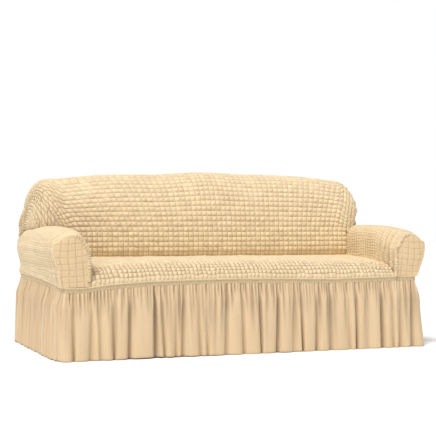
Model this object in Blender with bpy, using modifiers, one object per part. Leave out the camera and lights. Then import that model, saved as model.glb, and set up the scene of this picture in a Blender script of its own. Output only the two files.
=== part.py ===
"""A fitted stretch slipcover for a three-seat sofa, as one hollow cover of sewn sheets.

Units are metres. X runs along the front, +Y goes to the back and +Z up. The hem is on
z = 0 and the origin is under the middle of the cover. Each panel is an open grid laid on
its own smooth surface and then thickened inwards to the cloth's real thickness.
"""
import math

import bmesh
import bpy
from mathutils import Vector
import numpy as np

NAME = "sofa_slipcover"
LEFT = -1
RIGHT = 1

# Cloth and seams
CLOTH = 0.0024
SEAM_GAP = 0.0003
EDGE_GAP = 0.0004
TUCK_GAP = 0.0018
RISE_GAP = 0.0025

# Planes and lines that the panels share
FRONT_Y = -0.490
REAR_Y = 0.502
RIM_Y = REAR_Y - CLOTH - 2 * SEAM_GAP
ARM_INNER = 0.815
SEAT_EDGE = ARM_INNER - SEAM_GAP

# The girth line, where the panels end and the elastic band begins, seen from above
GIRTH_LEFT = 0.958
GIRTH_RIGHT = 0.953
GIRTH_FRONT = -0.4915
GIRTH_BACK = 0.5005
GIRTH_CORNER = 0.035
GIRTH_SPREAD = 0.013
SIDE_SEAM = 0.030
BAND_HEIGHT = 0.022

# Heights of the girth line: across the front (x, z), then along each side (y, z)
FRONT_SEAM = (
    (-0.960, 0.342),
    (-0.900, 0.339),
    (-0.830, 0.341),
    (-0.765, 0.350),
    (-0.620, 0.361),
    (-0.470, 0.367),
    (-0.250, 0.371),
    (-0.065, 0.372),
    (0.160, 0.369),
    (0.330, 0.365),
    (0.490, 0.363),
    (0.760, 0.368),
    (0.945, 0.369),
)
LEFT_SEAM = ((-0.495, 0.341), (-0.300, 0.354), (0.000, 0.366), (0.505, 0.377))
RIGHT_SEAM = ((-0.495, 0.369), (0.000, 0.372), (0.505, 0.375))
BACK_SEAM = ((-0.960, 0.377), (0.000, 0.374), (0.945, 0.375))

# Seat, from its tuck under the back, forward over the top and down to the seam (y, z)
SEAT_PROFILE = (
    (0.100, 0.470),
    (0.030, 0.470),
    (-0.120, 0.463),
    (-0.260, 0.451),
    (-0.360, 0.438),
    (-0.430, 0.418),
    (-0.468, 0.398),
    (-0.487, 0.383),
    (-0.4922, 0.3735),
    (-0.4925, 0.3660),
)
SEAT_CROWN = 0.022

# Inside back at the middle, from the seat up, over the top and to the rear seam (y, z)
BACK_PROFILE = (
    (0.060, 0.470),
    (0.048, 0.515),
    (0.055, 0.610),
    (0.078, 0.730),
    (0.116, 0.830),
    (0.185, 0.905),
    (0.290, 0.930),
    (0.400, 0.921),
    (RIM_Y, 0.896),
)
# Top line of the back against the middle's height (x, z), and the heights it fades over
BACK_ARCH = (
    (-0.815, -0.045),
    (-0.600, -0.022),
    (-0.430, -0.015),
    (-0.250, -0.012),
    (-0.050, 0.002),
    (0.050, 0.004),
    (0.240, -0.003),
    (0.440, -0.003),
    (0.650, -0.012),
    (0.815, -0.030),
)
ARCH_RISE = (0.600, 0.880)
# Foot of the back's ends on the arms, from the front round to the rear seam (x, y)
BACK_END = (
    (0.8235, 0.052),
    (0.868, 0.064),
    (0.915, 0.104),
    (0.942, 0.170),
    (0.950, 0.260),
    (0.950, 0.380),
    (0.950, RIM_Y),
)
END_START_Z = 0.603
# Roundness of the ends at their foot, and of each end above a share of the back's height
FOOT_ROUNDNESS = 2.0
END_ROUNDNESS = {LEFT: 3.8, RIGHT: 2.7}
END_ROUNDED = 0.40
# Spread of the back's ends over the rear of the arms, with the ranges it fades over
SHOULDER = 0.036
SHOULDER_DEPTH = (0.380, 0.470)
SHOULDER_RISE = (0.660, 0.720)
SHOULDER_LIFT = 0.1

# Arm's roll, from its inner side over the top and down to the girth line (x, z)
ARM_ROLL = (
    (0.815, 0.560),
    (0.824, 0.597),
    (0.850, 0.622),
    (0.893, 0.632),
    (0.945, 0.620),
    (0.983, 0.583),
    (0.998, 0.530),
    (0.993, 0.475),
    (0.976, 0.427),
    (0.955, 0.377),
)
# How far an arm's top sinks towards its front, or swells behind it (y, z)
ARM_TOP = {
    LEFT: (
        (-0.495, -0.044),
        (-0.470, -0.030),
        (-0.420, -0.020),
        (-0.250, -0.007),
        (0.000, 0.000),
        (0.505, 0.000),
    ),
    RIGHT: (
        (-0.495, -0.044),
        (-0.470, -0.028),
        (-0.420, -0.016),
        (-0.250, 0.002),
        (0.000, 0.008),
        (0.505, 0.004),
    ),
}
# Above this height an arm's outer side is clear of the girth line, and is tucked in behind
SEAM_BLEND_Z = 0.440
REAR_TUCK = 0.014
TUCK_DEPTH = (0.300, 0.500)
# How far an arm's inner edge is rounded down at its front, with the ranges it fades over
FRONT_ROUNDING = 0.036
ROUNDED_X = (0.815, 0.875)
ROUNDED_Y = (-0.470, -0.200)
ROUNDED_Z = (0.450, 0.530)
ARM_FRONT_DOME = 0.009
ARM_FRONT_SPINE = 0.905
SEAT_OVERLAP = 0.015
END_OVERLAP = 0.012
END_COVERED_Y = 0.170

# Skirt: how far its gathers puff it out under the band, and how much farther its hem stands
PUFF_FRONT = 0.014
PUFF_RIGHT = 0.024
PUFF_BACK = 0.014
PUFF_LEFT = 0.021
FLARE_FRONT = 0.010
FLARE_RIGHT = 0.024
FLARE_BACK = 0.006
FLARE_LEFT = 0.001
# Lift of the hem off the floor: on the left, and across the front (x, z)
HEM_LIFT_LEFT = 0.008
HEM_LIFT = (
    (-0.980, 0.000),
    (-0.800, 0.001),
    (-0.690, 0.006),
    (-0.520, 0.012),
    (-0.350, 0.007),
    (-0.200, 0.005),
    (0.000, 0.000),
    (0.170, 0.004),
    (0.350, 0.000),
    (0.980, 0.000),
)
SKIRT_LENGTHS = (  # name, pitch of its folds (0 where they are a table), start of their unevenness
    ("front", 0.000, 0.4),
    ("right", 0.056, 1.7),
    ("back", 0.064, 2.6),
    ("left", 0.056, 3.9),
)
# Troughs between the front's folds: place along the girth line, and depth
FRONT_FOLDS = (
    (-0.045, 0.4),
    (0.018, 0.9),
    (0.108, 0.7),
    (0.147, 0.5),
    (0.210, 1.0),
    (0.296, 1.2),
    (0.420, 1.1),
    (0.457, 0.8),
    (0.525, 0.6),
    (0.562, 0.9),
    (0.641, 0.7),
    (0.683, 0.5),
    (0.789, 0.8),
    (0.872, 0.9),
    (0.967, 1.1),
    (1.064, 1.3),
    (1.149, 0.3),
    (1.191, 1.3),
    (1.279, 1.1),
    (1.359, 1.0),
    (1.458, 0.4),
    (1.504, 1.3),
    (1.578, 0.3),
    (1.650, 1.4),
    (1.716, 0.4),
    (1.766, 0.9),
    (1.830, 1.1),
    (1.878, 0.4),
)
SKIRT_JOIN = 0.006
# A trough's half width, the gap at which a ridge has its full height, and its sides' height
TROUGH_SIDE = 0.018
FULL_RIDGE = 0.055
RIDGE_SIDE = 0.6
BAND_STEP = 0.024
BAND_END = 0.0015
FOLD_TOP = 0.0025
FOLD_HEM = 0.0135
FOLD_LEAN = 0.010

# Colours, linear RGB
BUBBLE_CLOTH = (0.77, 0.58, 0.36, 1.0)
CHECK_CLOTH = (0.78, 0.61, 0.40, 1.0)
PLAIN_CLOTH = (0.72, 0.53, 0.33, 1.0)
ELASTIC = (0.66, 0.50, 0.33, 1.0)


def smooth(value, start, end):
    """0 before start, 1 past end, and an even ease between them."""
    share = min(max((value - start) / (end - start), 0.0), 1.0)
    return share * share * (3.0 - 2.0 * share)


class Curve:
    """A smooth curve through a table's rows, read by length or by its first column."""

    STEPS = 24

    def __init__(self, rows):
        knots = np.array(rows, dtype=float)
        knots = np.vstack([2 * knots[0] - knots[1], knots, 2 * knots[-1] - knots[-2]])
        share = np.linspace(0.0, 1.0, self.STEPS, endpoint=False)[:, None]
        spans = []
        for before, start, end, after in zip(knots, knots[1:], knots[2:], knots[3:]):
            speed = end - before
            bend = 2 * before - 5 * start + 4 * end - after
            twist = 3 * start - before - 3 * end + after
            spans.append(start + 0.5 * share * (speed + share * (bend + share * twist)))
        self.points = np.vstack(spans + [knots[-2]])
        steps = np.linalg.norm(np.diff(self.points, axis=0), axis=1)
        self.lengths = np.concatenate([[0.0], np.cumsum(steps)])
        self.length = self.lengths[-1]

    def at(self, share):
        """Point at a share, 0 to 1, of the curve's length."""
        along = share * self.length
        return [float(np.interp(along, self.lengths, column)) for column in self.points.T]

    def value(self, first):
        """Second column where the first, which must rise along the curve, is reached."""
        return float(np.interp(first, self.points[:, 0], self.points[:, 1]))

    def share_of(self, column, value, until=1.0):
        """Share of the length at which a rising column first reaches a value."""
        last = np.searchsorted(self.lengths, until * self.length)
        rising = self.points[: last + 1, column]
        return float(np.interp(value, rising, self.lengths[: last + 1])) / self.length


front_seam = Curve(FRONT_SEAM)
left_seam = Curve(LEFT_SEAM)
right_seam = Curve(RIGHT_SEAM)
back_seam = Curve(BACK_SEAM)
seat_profile = Curve(SEAT_PROFILE)
back_profile = Curve(BACK_PROFILE)
back_arch = Curve(BACK_ARCH)
back_end = Curve(BACK_END)
arm_roll = Curve(ARM_ROLL)
arm_top = {side: Curve(rows) for side, rows in ARM_TOP.items()}
hem_lift = Curve(HEM_LIFT)

# Shares of the arm's roll: past its top, and where rows under the back's ends stay put
ROLL_TOP_SHARE = 0.52
ROLL_FIXED_SHARE = 0.79
ROLL_CREST = arm_roll.share_of(1, ARM_ROLL[3][1], until=0.4)
END_START = back_profile.share_of(1, END_START_Z, until=0.5)


# The girth line ---------------------------------------------------------------------


GIRTH_WIDTH = GIRTH_LEFT + GIRTH_RIGHT - 2 * GIRTH_CORNER
GIRTH_DEPTH = GIRTH_BACK - GIRTH_FRONT - 2 * GIRTH_CORNER
GIRTH_TURN = GIRTH_CORNER * math.pi / 2


def spread(spot):
    """The girth line's left side stands out farther towards the back."""
    return Vector((spot.x - GIRTH_SPREAD * (spot.x < 0.0) * (spot.y - GIRTH_FRONT), spot.y))


def girth_place(along):
    """Point and outward direction on the girth line, from the left end of its front run."""
    along %= 2 * (GIRTH_WIDTH + GIRTH_DEPTH) + 4 * GIRTH_TURN
    centre = Vector((-GIRTH_LEFT + GIRTH_CORNER, GIRTH_FRONT + GIRTH_CORNER))
    heading = Vector((1.0, 0.0))
    for run in (GIRTH_WIDTH, GIRTH_DEPTH, GIRTH_WIDTH, GIRTH_DEPTH):
        outward = Vector((heading.y, -heading.x))
        if along <= run:
            return spread(centre + heading * along + outward * GIRTH_CORNER), outward
        along -= run
        centre = centre + heading * run
        if along <= GIRTH_TURN:
            angle = along / GIRTH_CORNER
            outward = outward * math.cos(angle) + heading * math.sin(angle)
            return spread(centre + outward * GIRTH_CORNER), outward
        along -= GIRTH_TURN
        heading = Vector((-heading.y, heading.x))
    raise ValueError("past the end of the girth line")


def girth_lengths(past):
    """Start and end of the four lengths, their seams at a distance past the front's ends."""
    back = GIRTH_WIDTH + GIRTH_DEPTH + 2 * GIRTH_TURN
    ends = [-past, GIRTH_WIDTH + past, back - past, back + GIRTH_WIDTH + past]
    ends.append(back + GIRTH_WIDTH + GIRTH_DEPTH + 2 * GIRTH_TURN - past)
    return list(zip(ends, ends[1:]))


def by_side(outward, front, right, back, left):
    """Blend of four sides' values by the direction in which a place faces."""
    across, deep = outward.x ** 2, outward.y ** 2
    return (right if outward.x > 0 else left) * across + (back if outward.y > 0 else front) * deep


def girth_height(place, outward):
    """Height of the girth line at a place on it."""
    return by_side(
        outward,
        front_seam.value(place.x),
        right_seam.value(place.y),
        back_seam.value(place.x),
        left_seam.value(place.y),
    )


# Surfaces of the panels -------------------------------------------------------------


def seat_point(x, share):
    """Seat surface: share 0 is under the back and 1 is the seam on the band."""
    y, z = seat_profile.at(share)
    middle = 1.0 - (x / SEAT_EDGE) ** 4
    swell = smooth(-y, 0.02, 0.28) * smooth(z, 0.366, 0.425)
    z += SEAT_CROWN * middle * swell
    z += (front_seam.value(x) - SEAT_PROFILE[-1][1]) * (1.0 - smooth(z, 0.366, 0.415))
    return x, y, z + TUCK_GAP * smooth(share, 0.9, 1.0)


def seat_height_at_arm(y):
    """Height of the seat along the arm's inner side."""
    return float(np.interp(-y, -seat_profile.points[:, 0], seat_profile.points[:, 1]))


def arm_point(side, y, share):
    """Arm's roll: share 0 is at its inner side and 1 is the seam on the band."""
    x, z = arm_roll.at(share)
    girth = abs(spread(Vector((-GIRTH_LEFT if side == LEFT else GIRTH_RIGHT, y))).x)
    seam = left_seam if side == LEFT else right_seam
    if x > ARM_FRONT_SPINE:
        low = 1.0 - smooth(z, ARM_ROLL[-1][1], SEAM_BLEND_Z)
        x += (girth - ARM_ROLL[-1][0]) * low
        x -= REAR_TUCK * smooth(y, *TUCK_DEPTH) * (1.0 - low)
        z += (seam.value(y) + EDGE_GAP - ARM_ROLL[-1][1]) * low
    rounded = (1.0 - smooth(x, *ROUNDED_X)) * (1.0 - smooth(y, *ROUNDED_Y))
    rounding = FRONT_ROUNDING * rounded * smooth(z, *ROUNDED_Z)
    z += arm_top[side].value(y) * smooth(z, 0.530, 0.610) - rounding
    return side * x, y, z


def arm_height(side, x, y):
    """Height of an arm's upper surface at a distance x from the middle."""
    share = arm_roll.share_of(0, x, until=ROLL_TOP_SHARE)
    return arm_point(side, y, share)[2]


def back_end_x(y):
    """Distance from the middle to the foot of the back's end."""
    return float(np.interp(y, back_end.points[:, 1], back_end.points[:, 0]))


def shoulder(y):
    """How far the foot of the back's end spreads over the arm near the rear seam."""
    return SHOULDER * smooth(y, *SHOULDER_DEPTH)


def back_point(x, share):
    """Inside back between the arms: share 0 is on the seat and 1 is the rear seam."""
    y, z = back_profile.at(share)
    z += back_arch.value(x) * smooth(z, *ARCH_RISE)
    return x, y, z + SEAM_GAP * (share == 0.0)


def back_end_point(side, turn, share):
    """Inside back round its end: turn 0 is over the arm's inner side, 1 is on the arm."""
    edge_x, edge_y, edge_z = back_point(side * SEAT_EDGE, share)
    foot_x, foot_y = back_end.at((share - END_START) / (1.0 - END_START))
    wide = shoulder(foot_y)
    foot_z = arm_height(side, foot_x + wide, foot_y) + RISE_GAP + SHOULDER_LIFT * wide
    angle = turn * math.pi / 2
    rounder = smooth(share, END_START, END_ROUNDED)
    power = 2.0 / (FOOT_ROUNDNESS + (END_ROUNDNESS[side] - FOOT_ROUNDNESS) * rounder)
    out = math.sin(angle) ** power
    up = abs(math.cos(angle)) ** power
    x = SEAT_EDGE + (foot_x - SEAT_EDGE) * out
    y = edge_y + (foot_y - edge_y) * math.sin(angle) ** 2
    z = foot_z + (edge_z - foot_z) * up
    x += shoulder(y) * (1.0 - smooth(z, *SHOULDER_RISE)) * smooth(turn, 0.3, 0.8)
    return side * x, y, z


# Building sheets --------------------------------------------------------------------


def cloth_material(name, colour):
    """A matt cloth material of one colour."""
    material = bpy.data.materials.new(name)
    material.use_nodes = True
    shader = material.node_tree.nodes["Principled BSDF"]
    shader.inputs["Base Color"].default_value = colour
    shader.inputs["Roughness"].default_value = 0.9
    shader.inputs["Metallic"].default_value = 0.0
    return material


def sheet(name, collection, material, columns, rows, place, inside, keep=None):
    """Thick sheet laid on place(column, row), facing away from the point inside.

    keep(i, j) says which of the grid's cells belong to the panel's outline.
    """
    across = len(columns) - 1
    up = len(rows) - 1
    grid = bmesh.new()
    bmesh.ops.create_grid(grid, x_segments=across, y_segments=up, size=0.5)
    cell = {}
    for vert in grid.verts:
        i, j = round((vert.co.x + 0.5) * across), round((vert.co.y + 0.5) * up)
        cell[vert] = (i, j)
        vert.co = place(columns[i], rows[j])
    if keep:
        spare = [face for face in grid.faces if not keep(*min(cell[vert] for vert in face.verts))]
        bmesh.ops.delete(grid, geom=spare, context="FACES")
    bmesh.ops.remove_doubles(grid, verts=grid.verts, dist=0.00005)
    grid.normal_update()
    facing = 0.0
    for face in grid.faces:
        away = face.calc_center_median() - Vector(inside)
        facing += face.normal.dot(away) * face.calc_area()
    if facing < 0.0:
        bmesh.ops.reverse_faces(grid, faces=grid.faces)
    mesh = bpy.data.meshes.new(name)
    grid.to_mesh(mesh)
    grid.free()
    mesh.shade_smooth()
    mesh.materials.append(material)
    panel = bpy.data.objects.new(name, mesh)
    collection.objects.link(panel)
    thick = panel.modifiers.new("Cloth thickness", "SOLIDIFY")
    thick.thickness = CLOTH
    thick.offset = -1.0
    thick.use_even_offset = True
    return panel


def even(start, end, count):
    """count even steps from start to end, with both ends."""
    return [start + (end - start) * k / count for k in range(count + 1)]


# The panels -------------------------------------------------------------------------


def make_seat(collection, material):
    """Seat panel, from its tuck under the back to the seam on the band."""
    columns = even(-SEAT_EDGE, SEAT_EDGE, 24)
    rows = [0.0, 0.11, 0.3, 0.48, 0.62, 0.73, 0.82, 0.9, 0.95, 0.986, 1.0]
    return sheet("seat", collection, material, columns, rows, seat_point, (0.0, -0.2, 0.2))


def make_inside_back(collection, material):
    """Panel up the front of the back, over its top and round both ends."""
    turns = even(0.0, 1.0, 5)
    low_rows = [0.0, END_START * 0.5]
    high_rows = (0.0, 0.05, 0.1, 0.16, 0.25, 0.36, 0.48, 0.6, 0.73, 0.86, 1.0)
    rows = low_rows + [END_START + (1.0 - END_START) * s for s in high_rows]
    middle = even(-SEAT_EDGE, SEAT_EDGE, 24)
    columns = [(LEFT, turn) for turn in reversed(turns[1:])]
    columns += [(0, x) for x in middle]
    columns += [(RIGHT, turn) for turn in turns[1:]]

    def place(column, share):
        side, value = column
        if side == 0:
            return back_point(value, share)
        return back_end_point(side, value, max(share, END_START))

    def keep(i, j):
        between_arms = len(turns) - 1 <= i < len(turns) - 1 + len(middle) - 1
        return between_arms or j >= len(low_rows)

    inside = (0.0, 0.35, 0.55)
    return sheet("inside_back", collection, material, columns, rows, place, inside, keep)


def make_arm_wrap(side, name, collection, material):
    """Panel up an arm's inner side, over its roll and down to the band outside."""
    depths = [-0.4875, -0.474, -0.450, -0.405, -0.330, -0.200, -0.060, 0.074]
    behind = [0.095, 0.120, 0.150, 0.185, 0.230, 0.300, 0.380, 0.425, 0.470, RIM_Y]
    inner_rows = [-1.0]
    rows = inner_rows + [0.0, 0.09, 0.18, 0.27, 0.37, 0.47, 0.57, 0.68, 0.79, 0.9, 1.0]

    def place(y, row):
        if row < 0.0:
            return side * ARM_INNER, y, seat_height_at_arm(y) - SEAT_OVERLAP
        reach = back_end_x(y) + shoulder(y) - END_OVERLAP - ARM_INNER
        reach *= smooth(y, depths[-1], END_COVERED_Y)
        start = arm_roll.share_of(0, ARM_INNER + reach, until=ROLL_TOP_SHARE)
        low = start / ROLL_FIXED_SHARE
        return arm_point(side, y, row if row > ROLL_FIXED_SHARE else start + (1.0 - low) * row)

    def keep(i, j):
        return i < len(depths) - 1 or j >= len(inner_rows)

    inside = (side * ARM_FRONT_SPINE, 0.0, 0.48)
    return sheet(name, collection, material, depths + behind, rows, place, inside, keep)


def make_arm_front(side, name, collection, material):
    """Padded flat panel that closes the front of an arm, domed a little."""
    inner = [(side * ARM_INNER, front_seam.value(side * ARM_INNER) + EDGE_GAP)]
    inner += [(side * ARM_INNER, z) for z in (0.42, 0.49)]
    inner += [arm_point(side, FRONT_Y, share)[::2] for share in even(0.0, ROLL_CREST, 6)]
    outer = [arm_point(side, FRONT_Y, share)[::2] for share in even(1.0, ROLL_CREST, 12)]
    inner, outer = Curve(inner), Curve(outer)

    def place(across, up):
        x, z = np.array(inner.at(up)) * (1.0 - across) + np.array(outer.at(up)) * across
        dome = math.sin(across * math.pi) * smooth(up, 0.0, 0.4) * smooth(1.0 - up, 0.0, 0.3)
        return x, FRONT_Y - ARM_FRONT_DOME * dome, z

    columns = even(0.0, 1.0, 6)
    rows = [0.0, 0.2, 0.38, 0.54, 0.66, 0.76, 0.85, 0.93, 1.0]
    inside = (side * ARM_FRONT_SPINE, 0.0, 0.48)
    return sheet(name, collection, material, columns, rows, place, inside)


def rear_outline():
    """Side and top edges of the outside back: left side up, top across, right side down."""
    edges = {}
    for side in (LEFT, RIGHT):
        meet = arm_roll.share_of(0, BACK_END[-1][0] + SHOULDER, until=ROLL_TOP_SHARE)
        arm = [arm_point(side, RIM_Y, 1.0 - (1.0 - meet) * s) for s in even(0.0, 1.0, 8)]
        end = [back_end_point(side, 1.0 - turn, 1.0) for turn in even(0.0, 1.0, 12)]
        edges[side] = [(x, z) for x, _, z in arm + end]
    top = [(x, z) for x, _, z in (back_point(v, 1.0) for v in even(-SEAT_EDGE, SEAT_EDGE, 24))]
    half = 6
    left = Curve(edges[LEFT][:-half])
    right = Curve(edges[RIGHT][:-half])
    across = Curve(edges[LEFT][-half - 1 :] + top[1:-1] + edges[RIGHT][: -half - 2 : -1])
    return left, across, right


def make_outside_back(collection, material):
    """Flat panel behind the back, widening over the rear ends of the arms."""
    left, across, right = rear_outline()
    low_left, low_right = np.array(left.at(0.0)), np.array(right.at(0.0))
    top_left, top_right = np.array(left.at(1.0)), np.array(right.at(1.0))

    def bottom(u):
        x = low_left[0] + (low_right[0] - low_left[0]) * u
        return np.array([x, back_seam.value(x) + EDGE_GAP])

    def place(u, v):
        spot = (1 - v) * bottom(u) + v * np.array(across.at(u))
        spot = spot + (1 - u) * np.array(left.at(v)) + u * np.array(right.at(v))
        spot = spot - (1 - u) * ((1 - v) * low_left + v * top_left)
        spot = spot - u * ((1 - v) * low_right + v * top_right)
        return spot[0], REAR_Y, spot[1]

    columns = even(0.0, 1.0, 22)
    rows = even(0.0, 1.0, 10)
    return sheet("outside_back", collection, material, columns, rows, place, (0.0, 0.0, 0.6))


def make_band(name, start, end, collection, material):
    """One length of the elastic band, between two distances along the girth line.

    Its end faces are short, so that they meet squarely in the middle of a corner.
    """
    start, end = start + SEAM_GAP / 2, end - SEAM_GAP / 2
    columns = even(start + BAND_END, end - BAND_END, round((end - start) / BAND_STEP))
    columns = [start, *columns, end]

    def place(along, share):
        spot, outward = girth_place(along)
        z = girth_height(spot, outward) - BAND_HEIGHT * (1.0 - share)
        return spot.x, spot.y, z

    return sheet(name, collection, material, columns, [0.0, 1.0], place, (0.0, 0.0, 0.35))


def fold_troughs(start, end, pitch, phase):
    """Place and depth of each trough along a length of skirt."""
    if pitch == 0.0:
        return list(FRONT_FOLDS)
    widths = [
        1.0 + 0.26 * math.sin(2.1 * k + phase) + 0.18 * math.sin(5.3 * k)
        for k in range(round((end - start) / pitch))
    ]
    scale = (end - start) / sum(widths)
    troughs = []
    along = start
    for k, width in enumerate(widths[:-1]):
        along += width * scale
        troughs.append((along, 1.0 + 0.28 * math.sin(3.7 * k + phase) + 0.16 * math.sin(1.3 * k)))
    return troughs


def fold_columns(start, end, pitch, phase):
    """Places along a length of skirt, each with its wave and lean: troughs, ridges between.

    The joined ends lie flat, so that two lengths meet face to face.
    """
    troughs = fold_troughs(start, end, pitch, phase)
    last = start + SKIRT_JOIN
    columns = [(start, 0.0, 0.0), (last, 0.0, 0.0)]
    for k, (along, depth) in enumerate(troughs + [(end - SKIRT_JOIN, 0.0)]):
        gap = along - last
        ridge = min(1.0, gap / FULL_RIDGE)
        side = min(0.3 * gap, TROUGH_SIDE)
        lean = math.sin(1.9 * k + 2.0 * phase) if 0 < k < len(troughs) else 0.0
        columns.append((last + side, RIDGE_SIDE * ridge, lean))
        columns.append((last + gap / 2, ridge, lean))
        columns.append((along - side, RIDGE_SIDE * ridge, lean))
        columns.append((along, -depth, lean))
        last = along
    columns.append((end, 0.0, 0.0))
    return columns


def skirt_point(column, drop):
    """Skirt surface: drop 0 is its gathered top edge and 1 is the hem."""
    along, wave, lean = column
    loose = drop ** 0.7
    spot, outward = girth_place(along + FOLD_LEAN * lean * loose * drop)
    puff = by_side(outward, PUFF_FRONT, PUFF_RIGHT, PUFF_BACK, PUFF_LEFT)
    flare = by_side(outward, FLARE_FRONT, FLARE_RIGHT, FLARE_BACK, FLARE_LEFT)
    out = puff * smooth(drop, 0.0, 0.25) + flare * drop
    out += wave * (FOLD_TOP + (FOLD_HEM - FOLD_TOP) * loose)
    top = girth_height(spot, outward) - BAND_HEIGHT - EDGE_GAP
    hem = by_side(outward, hem_lift.value(spot.x), 0.0, 0.0, HEM_LIFT_LEFT)
    return spot.x + out * outward.x, spot.y + out * outward.y, top + (hem - top) * drop


def make_skirt(name, start, end, pitch, phase, collection, material):
    """One gathered length of the skirt, between two distances along the girth line."""
    columns = fold_columns(start + SEAM_GAP / 2, end - SEAM_GAP / 2, pitch, phase)
    rows = [1.0, 0.58, 0.18, 0.0]
    return sheet(name, collection, material, columns, rows, skirt_point, (0.0, 0.0, 0.2))


def build():
    """Builds every panel of the cover in its own collection."""
    for old in list(bpy.data.objects):
        bpy.data.objects.remove(old)
    collection = bpy.data.collections.new(NAME)
    bpy.context.scene.collection.children.link(collection)

    make_inside_back(collection, cloth_material("inside_back_cloth", BUBBLE_CLOTH))
    make_outside_back(collection, cloth_material("outside_back_cloth", BUBBLE_CLOTH))
    make_seat(collection, cloth_material("seat_cloth", BUBBLE_CLOTH))
    for side, word in ((LEFT, "left"), (RIGHT, "right")):
        wrap_cloth = cloth_material(f"arm_wrap_{word}_cloth", BUBBLE_CLOTH)
        make_arm_wrap(side, f"arm_wrap_{word}", collection, wrap_cloth)
        front_cloth = cloth_material(f"arm_front_{word}_cloth", CHECK_CLOTH)
        make_arm_front(side, f"arm_front_{word}", collection, front_cloth)

    bands = girth_lengths(GIRTH_TURN / 2)
    skirts = girth_lengths(GIRTH_TURN + SIDE_SEAM)
    for band, skirt, (word, pitch, phase) in zip(bands, skirts, SKIRT_LENGTHS):
        elastic = cloth_material(f"band_{word}_elastic", ELASTIC)
        make_band(f"band_{word}", *band, collection, elastic)
        skirt_cloth = cloth_material(f"skirt_{word}_cloth", PLAIN_CLOTH)
        make_skirt(f"skirt_{word}", *skirt, pitch, phase, collection, skirt_cloth)


build()
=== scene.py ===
"""Finished looks of a fitted stretch sofa slipcover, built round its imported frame.

Each panel is a thin cloth on the same surface as its solid in the frame, with the knit's
raised cells, gathers and seams in the mesh and its weave in procedural materials.
Units are metres. X runs along the front, +Y goes to the back and +Z up.
"""
import math

import bmesh
import bpy
import numpy as np
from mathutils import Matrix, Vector
from bpy.props import FloatProperty, FloatVectorProperty, IntProperty, PointerProperty


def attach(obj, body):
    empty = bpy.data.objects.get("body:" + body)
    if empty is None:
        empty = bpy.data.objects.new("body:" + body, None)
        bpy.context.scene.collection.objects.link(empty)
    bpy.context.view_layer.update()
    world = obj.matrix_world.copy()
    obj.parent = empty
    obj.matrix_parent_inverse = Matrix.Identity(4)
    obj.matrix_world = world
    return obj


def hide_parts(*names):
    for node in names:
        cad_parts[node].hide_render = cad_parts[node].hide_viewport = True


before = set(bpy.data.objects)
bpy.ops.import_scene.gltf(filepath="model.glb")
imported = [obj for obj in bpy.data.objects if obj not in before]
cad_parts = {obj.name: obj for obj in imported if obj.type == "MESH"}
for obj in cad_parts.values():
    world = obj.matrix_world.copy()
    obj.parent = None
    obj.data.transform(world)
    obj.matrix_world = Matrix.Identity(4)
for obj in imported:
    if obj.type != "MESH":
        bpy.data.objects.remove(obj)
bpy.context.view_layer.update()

bl_info = {
    "name": "Sofa Slipcover",
    "version": (1, 0, 0),
    "blender": (4, 5, 0),
    "location": "View3D > Sidebar > Slipcover",
    "description": "Builds the cloth pieces of a fitted stretch sofa slipcover",
    "category": "Object",
}

LEFT = -1
RIGHT = 1

# Gaps between panels: at their seams, over the band, at the seat's lower edge and under the
# foot of the back's ends
SEAM_GAP = 0.0003
EDGE_GAP = 0.0004
TUCK_GAP = 0.0018
RISE_GAP = 0.0025
# The cloth's thickness, and planes that the panels share
CLOTH = 0.0024
FRONT_Y = -0.490
REAR_Y = 0.502
RIM_Y = REAR_Y - CLOTH - 2 * SEAM_GAP
ARM_INNER = 0.815
SEAT_EDGE = ARM_INNER - SEAM_GAP

# The girth line, where the panels end and the elastic band begins, seen from above, and how
# much its left side spreads for each metre of its depth
GIRTH_LEFT = 0.958
GIRTH_RIGHT = 0.953
GIRTH_FRONT = -0.4915
GIRTH_BACK = 0.5005
GIRTH_CORNER = 0.035
GIRTH_SPREAD = 0.013
# Distance of the skirt's seams past its corners, and the height of the band
SIDE_SEAM = 0.030
BAND_HEIGHT = 0.022

# Heights of the girth line: across the front (x, z), then along each side (y, z)
FRONT_SEAM = (
    (-0.960, 0.342),
    (-0.900, 0.339),
    (-0.830, 0.341),
    (-0.765, 0.350),
    (-0.620, 0.361),
    (-0.470, 0.367),
    (-0.250, 0.371),
    (-0.065, 0.372),
    (0.160, 0.369),
    (0.330, 0.365),
    (0.490, 0.363),
    (0.760, 0.368),
    (0.945, 0.369),
)
LEFT_SEAM = ((-0.495, 0.341), (-0.300, 0.354), (0.000, 0.366), (0.505, 0.377))
RIGHT_SEAM = ((-0.495, 0.369), (0.000, 0.372), (0.505, 0.375))
BACK_SEAM = ((-0.960, 0.377), (0.000, 0.374), (0.945, 0.375))

# Seat, from its tuck under the back, forward over the top and down to the seam (y, z), and
# how much higher its middle stands than its ends
SEAT_PROFILE = (
    (0.100, 0.470),
    (0.030, 0.470),
    (-0.120, 0.463),
    (-0.260, 0.451),
    (-0.360, 0.438),
    (-0.430, 0.418),
    (-0.468, 0.398),
    (-0.487, 0.383),
    (-0.4922, 0.3735),
    (-0.4925, 0.3660),
)
SEAT_CROWN = 0.022
# Range of depth, before the middle, and height over which the crown comes up, and the height
# up to which the seat follows its seam's dips
CROWN_DEPTH = (0.02, 0.28)
CROWN_Z = 0.425
SEAM_DIPS_Z = 0.415

# Inside back at the middle, from the seat up, over the top and to the rear seam (y, z)
BACK_PROFILE = (
    (0.060, 0.470),
    (0.048, 0.515),
    (0.055, 0.610),
    (0.078, 0.730),
    (0.116, 0.830),
    (0.185, 0.905),
    (0.290, 0.930),
    (0.400, 0.921),
    (RIM_Y, 0.896),
)
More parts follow.
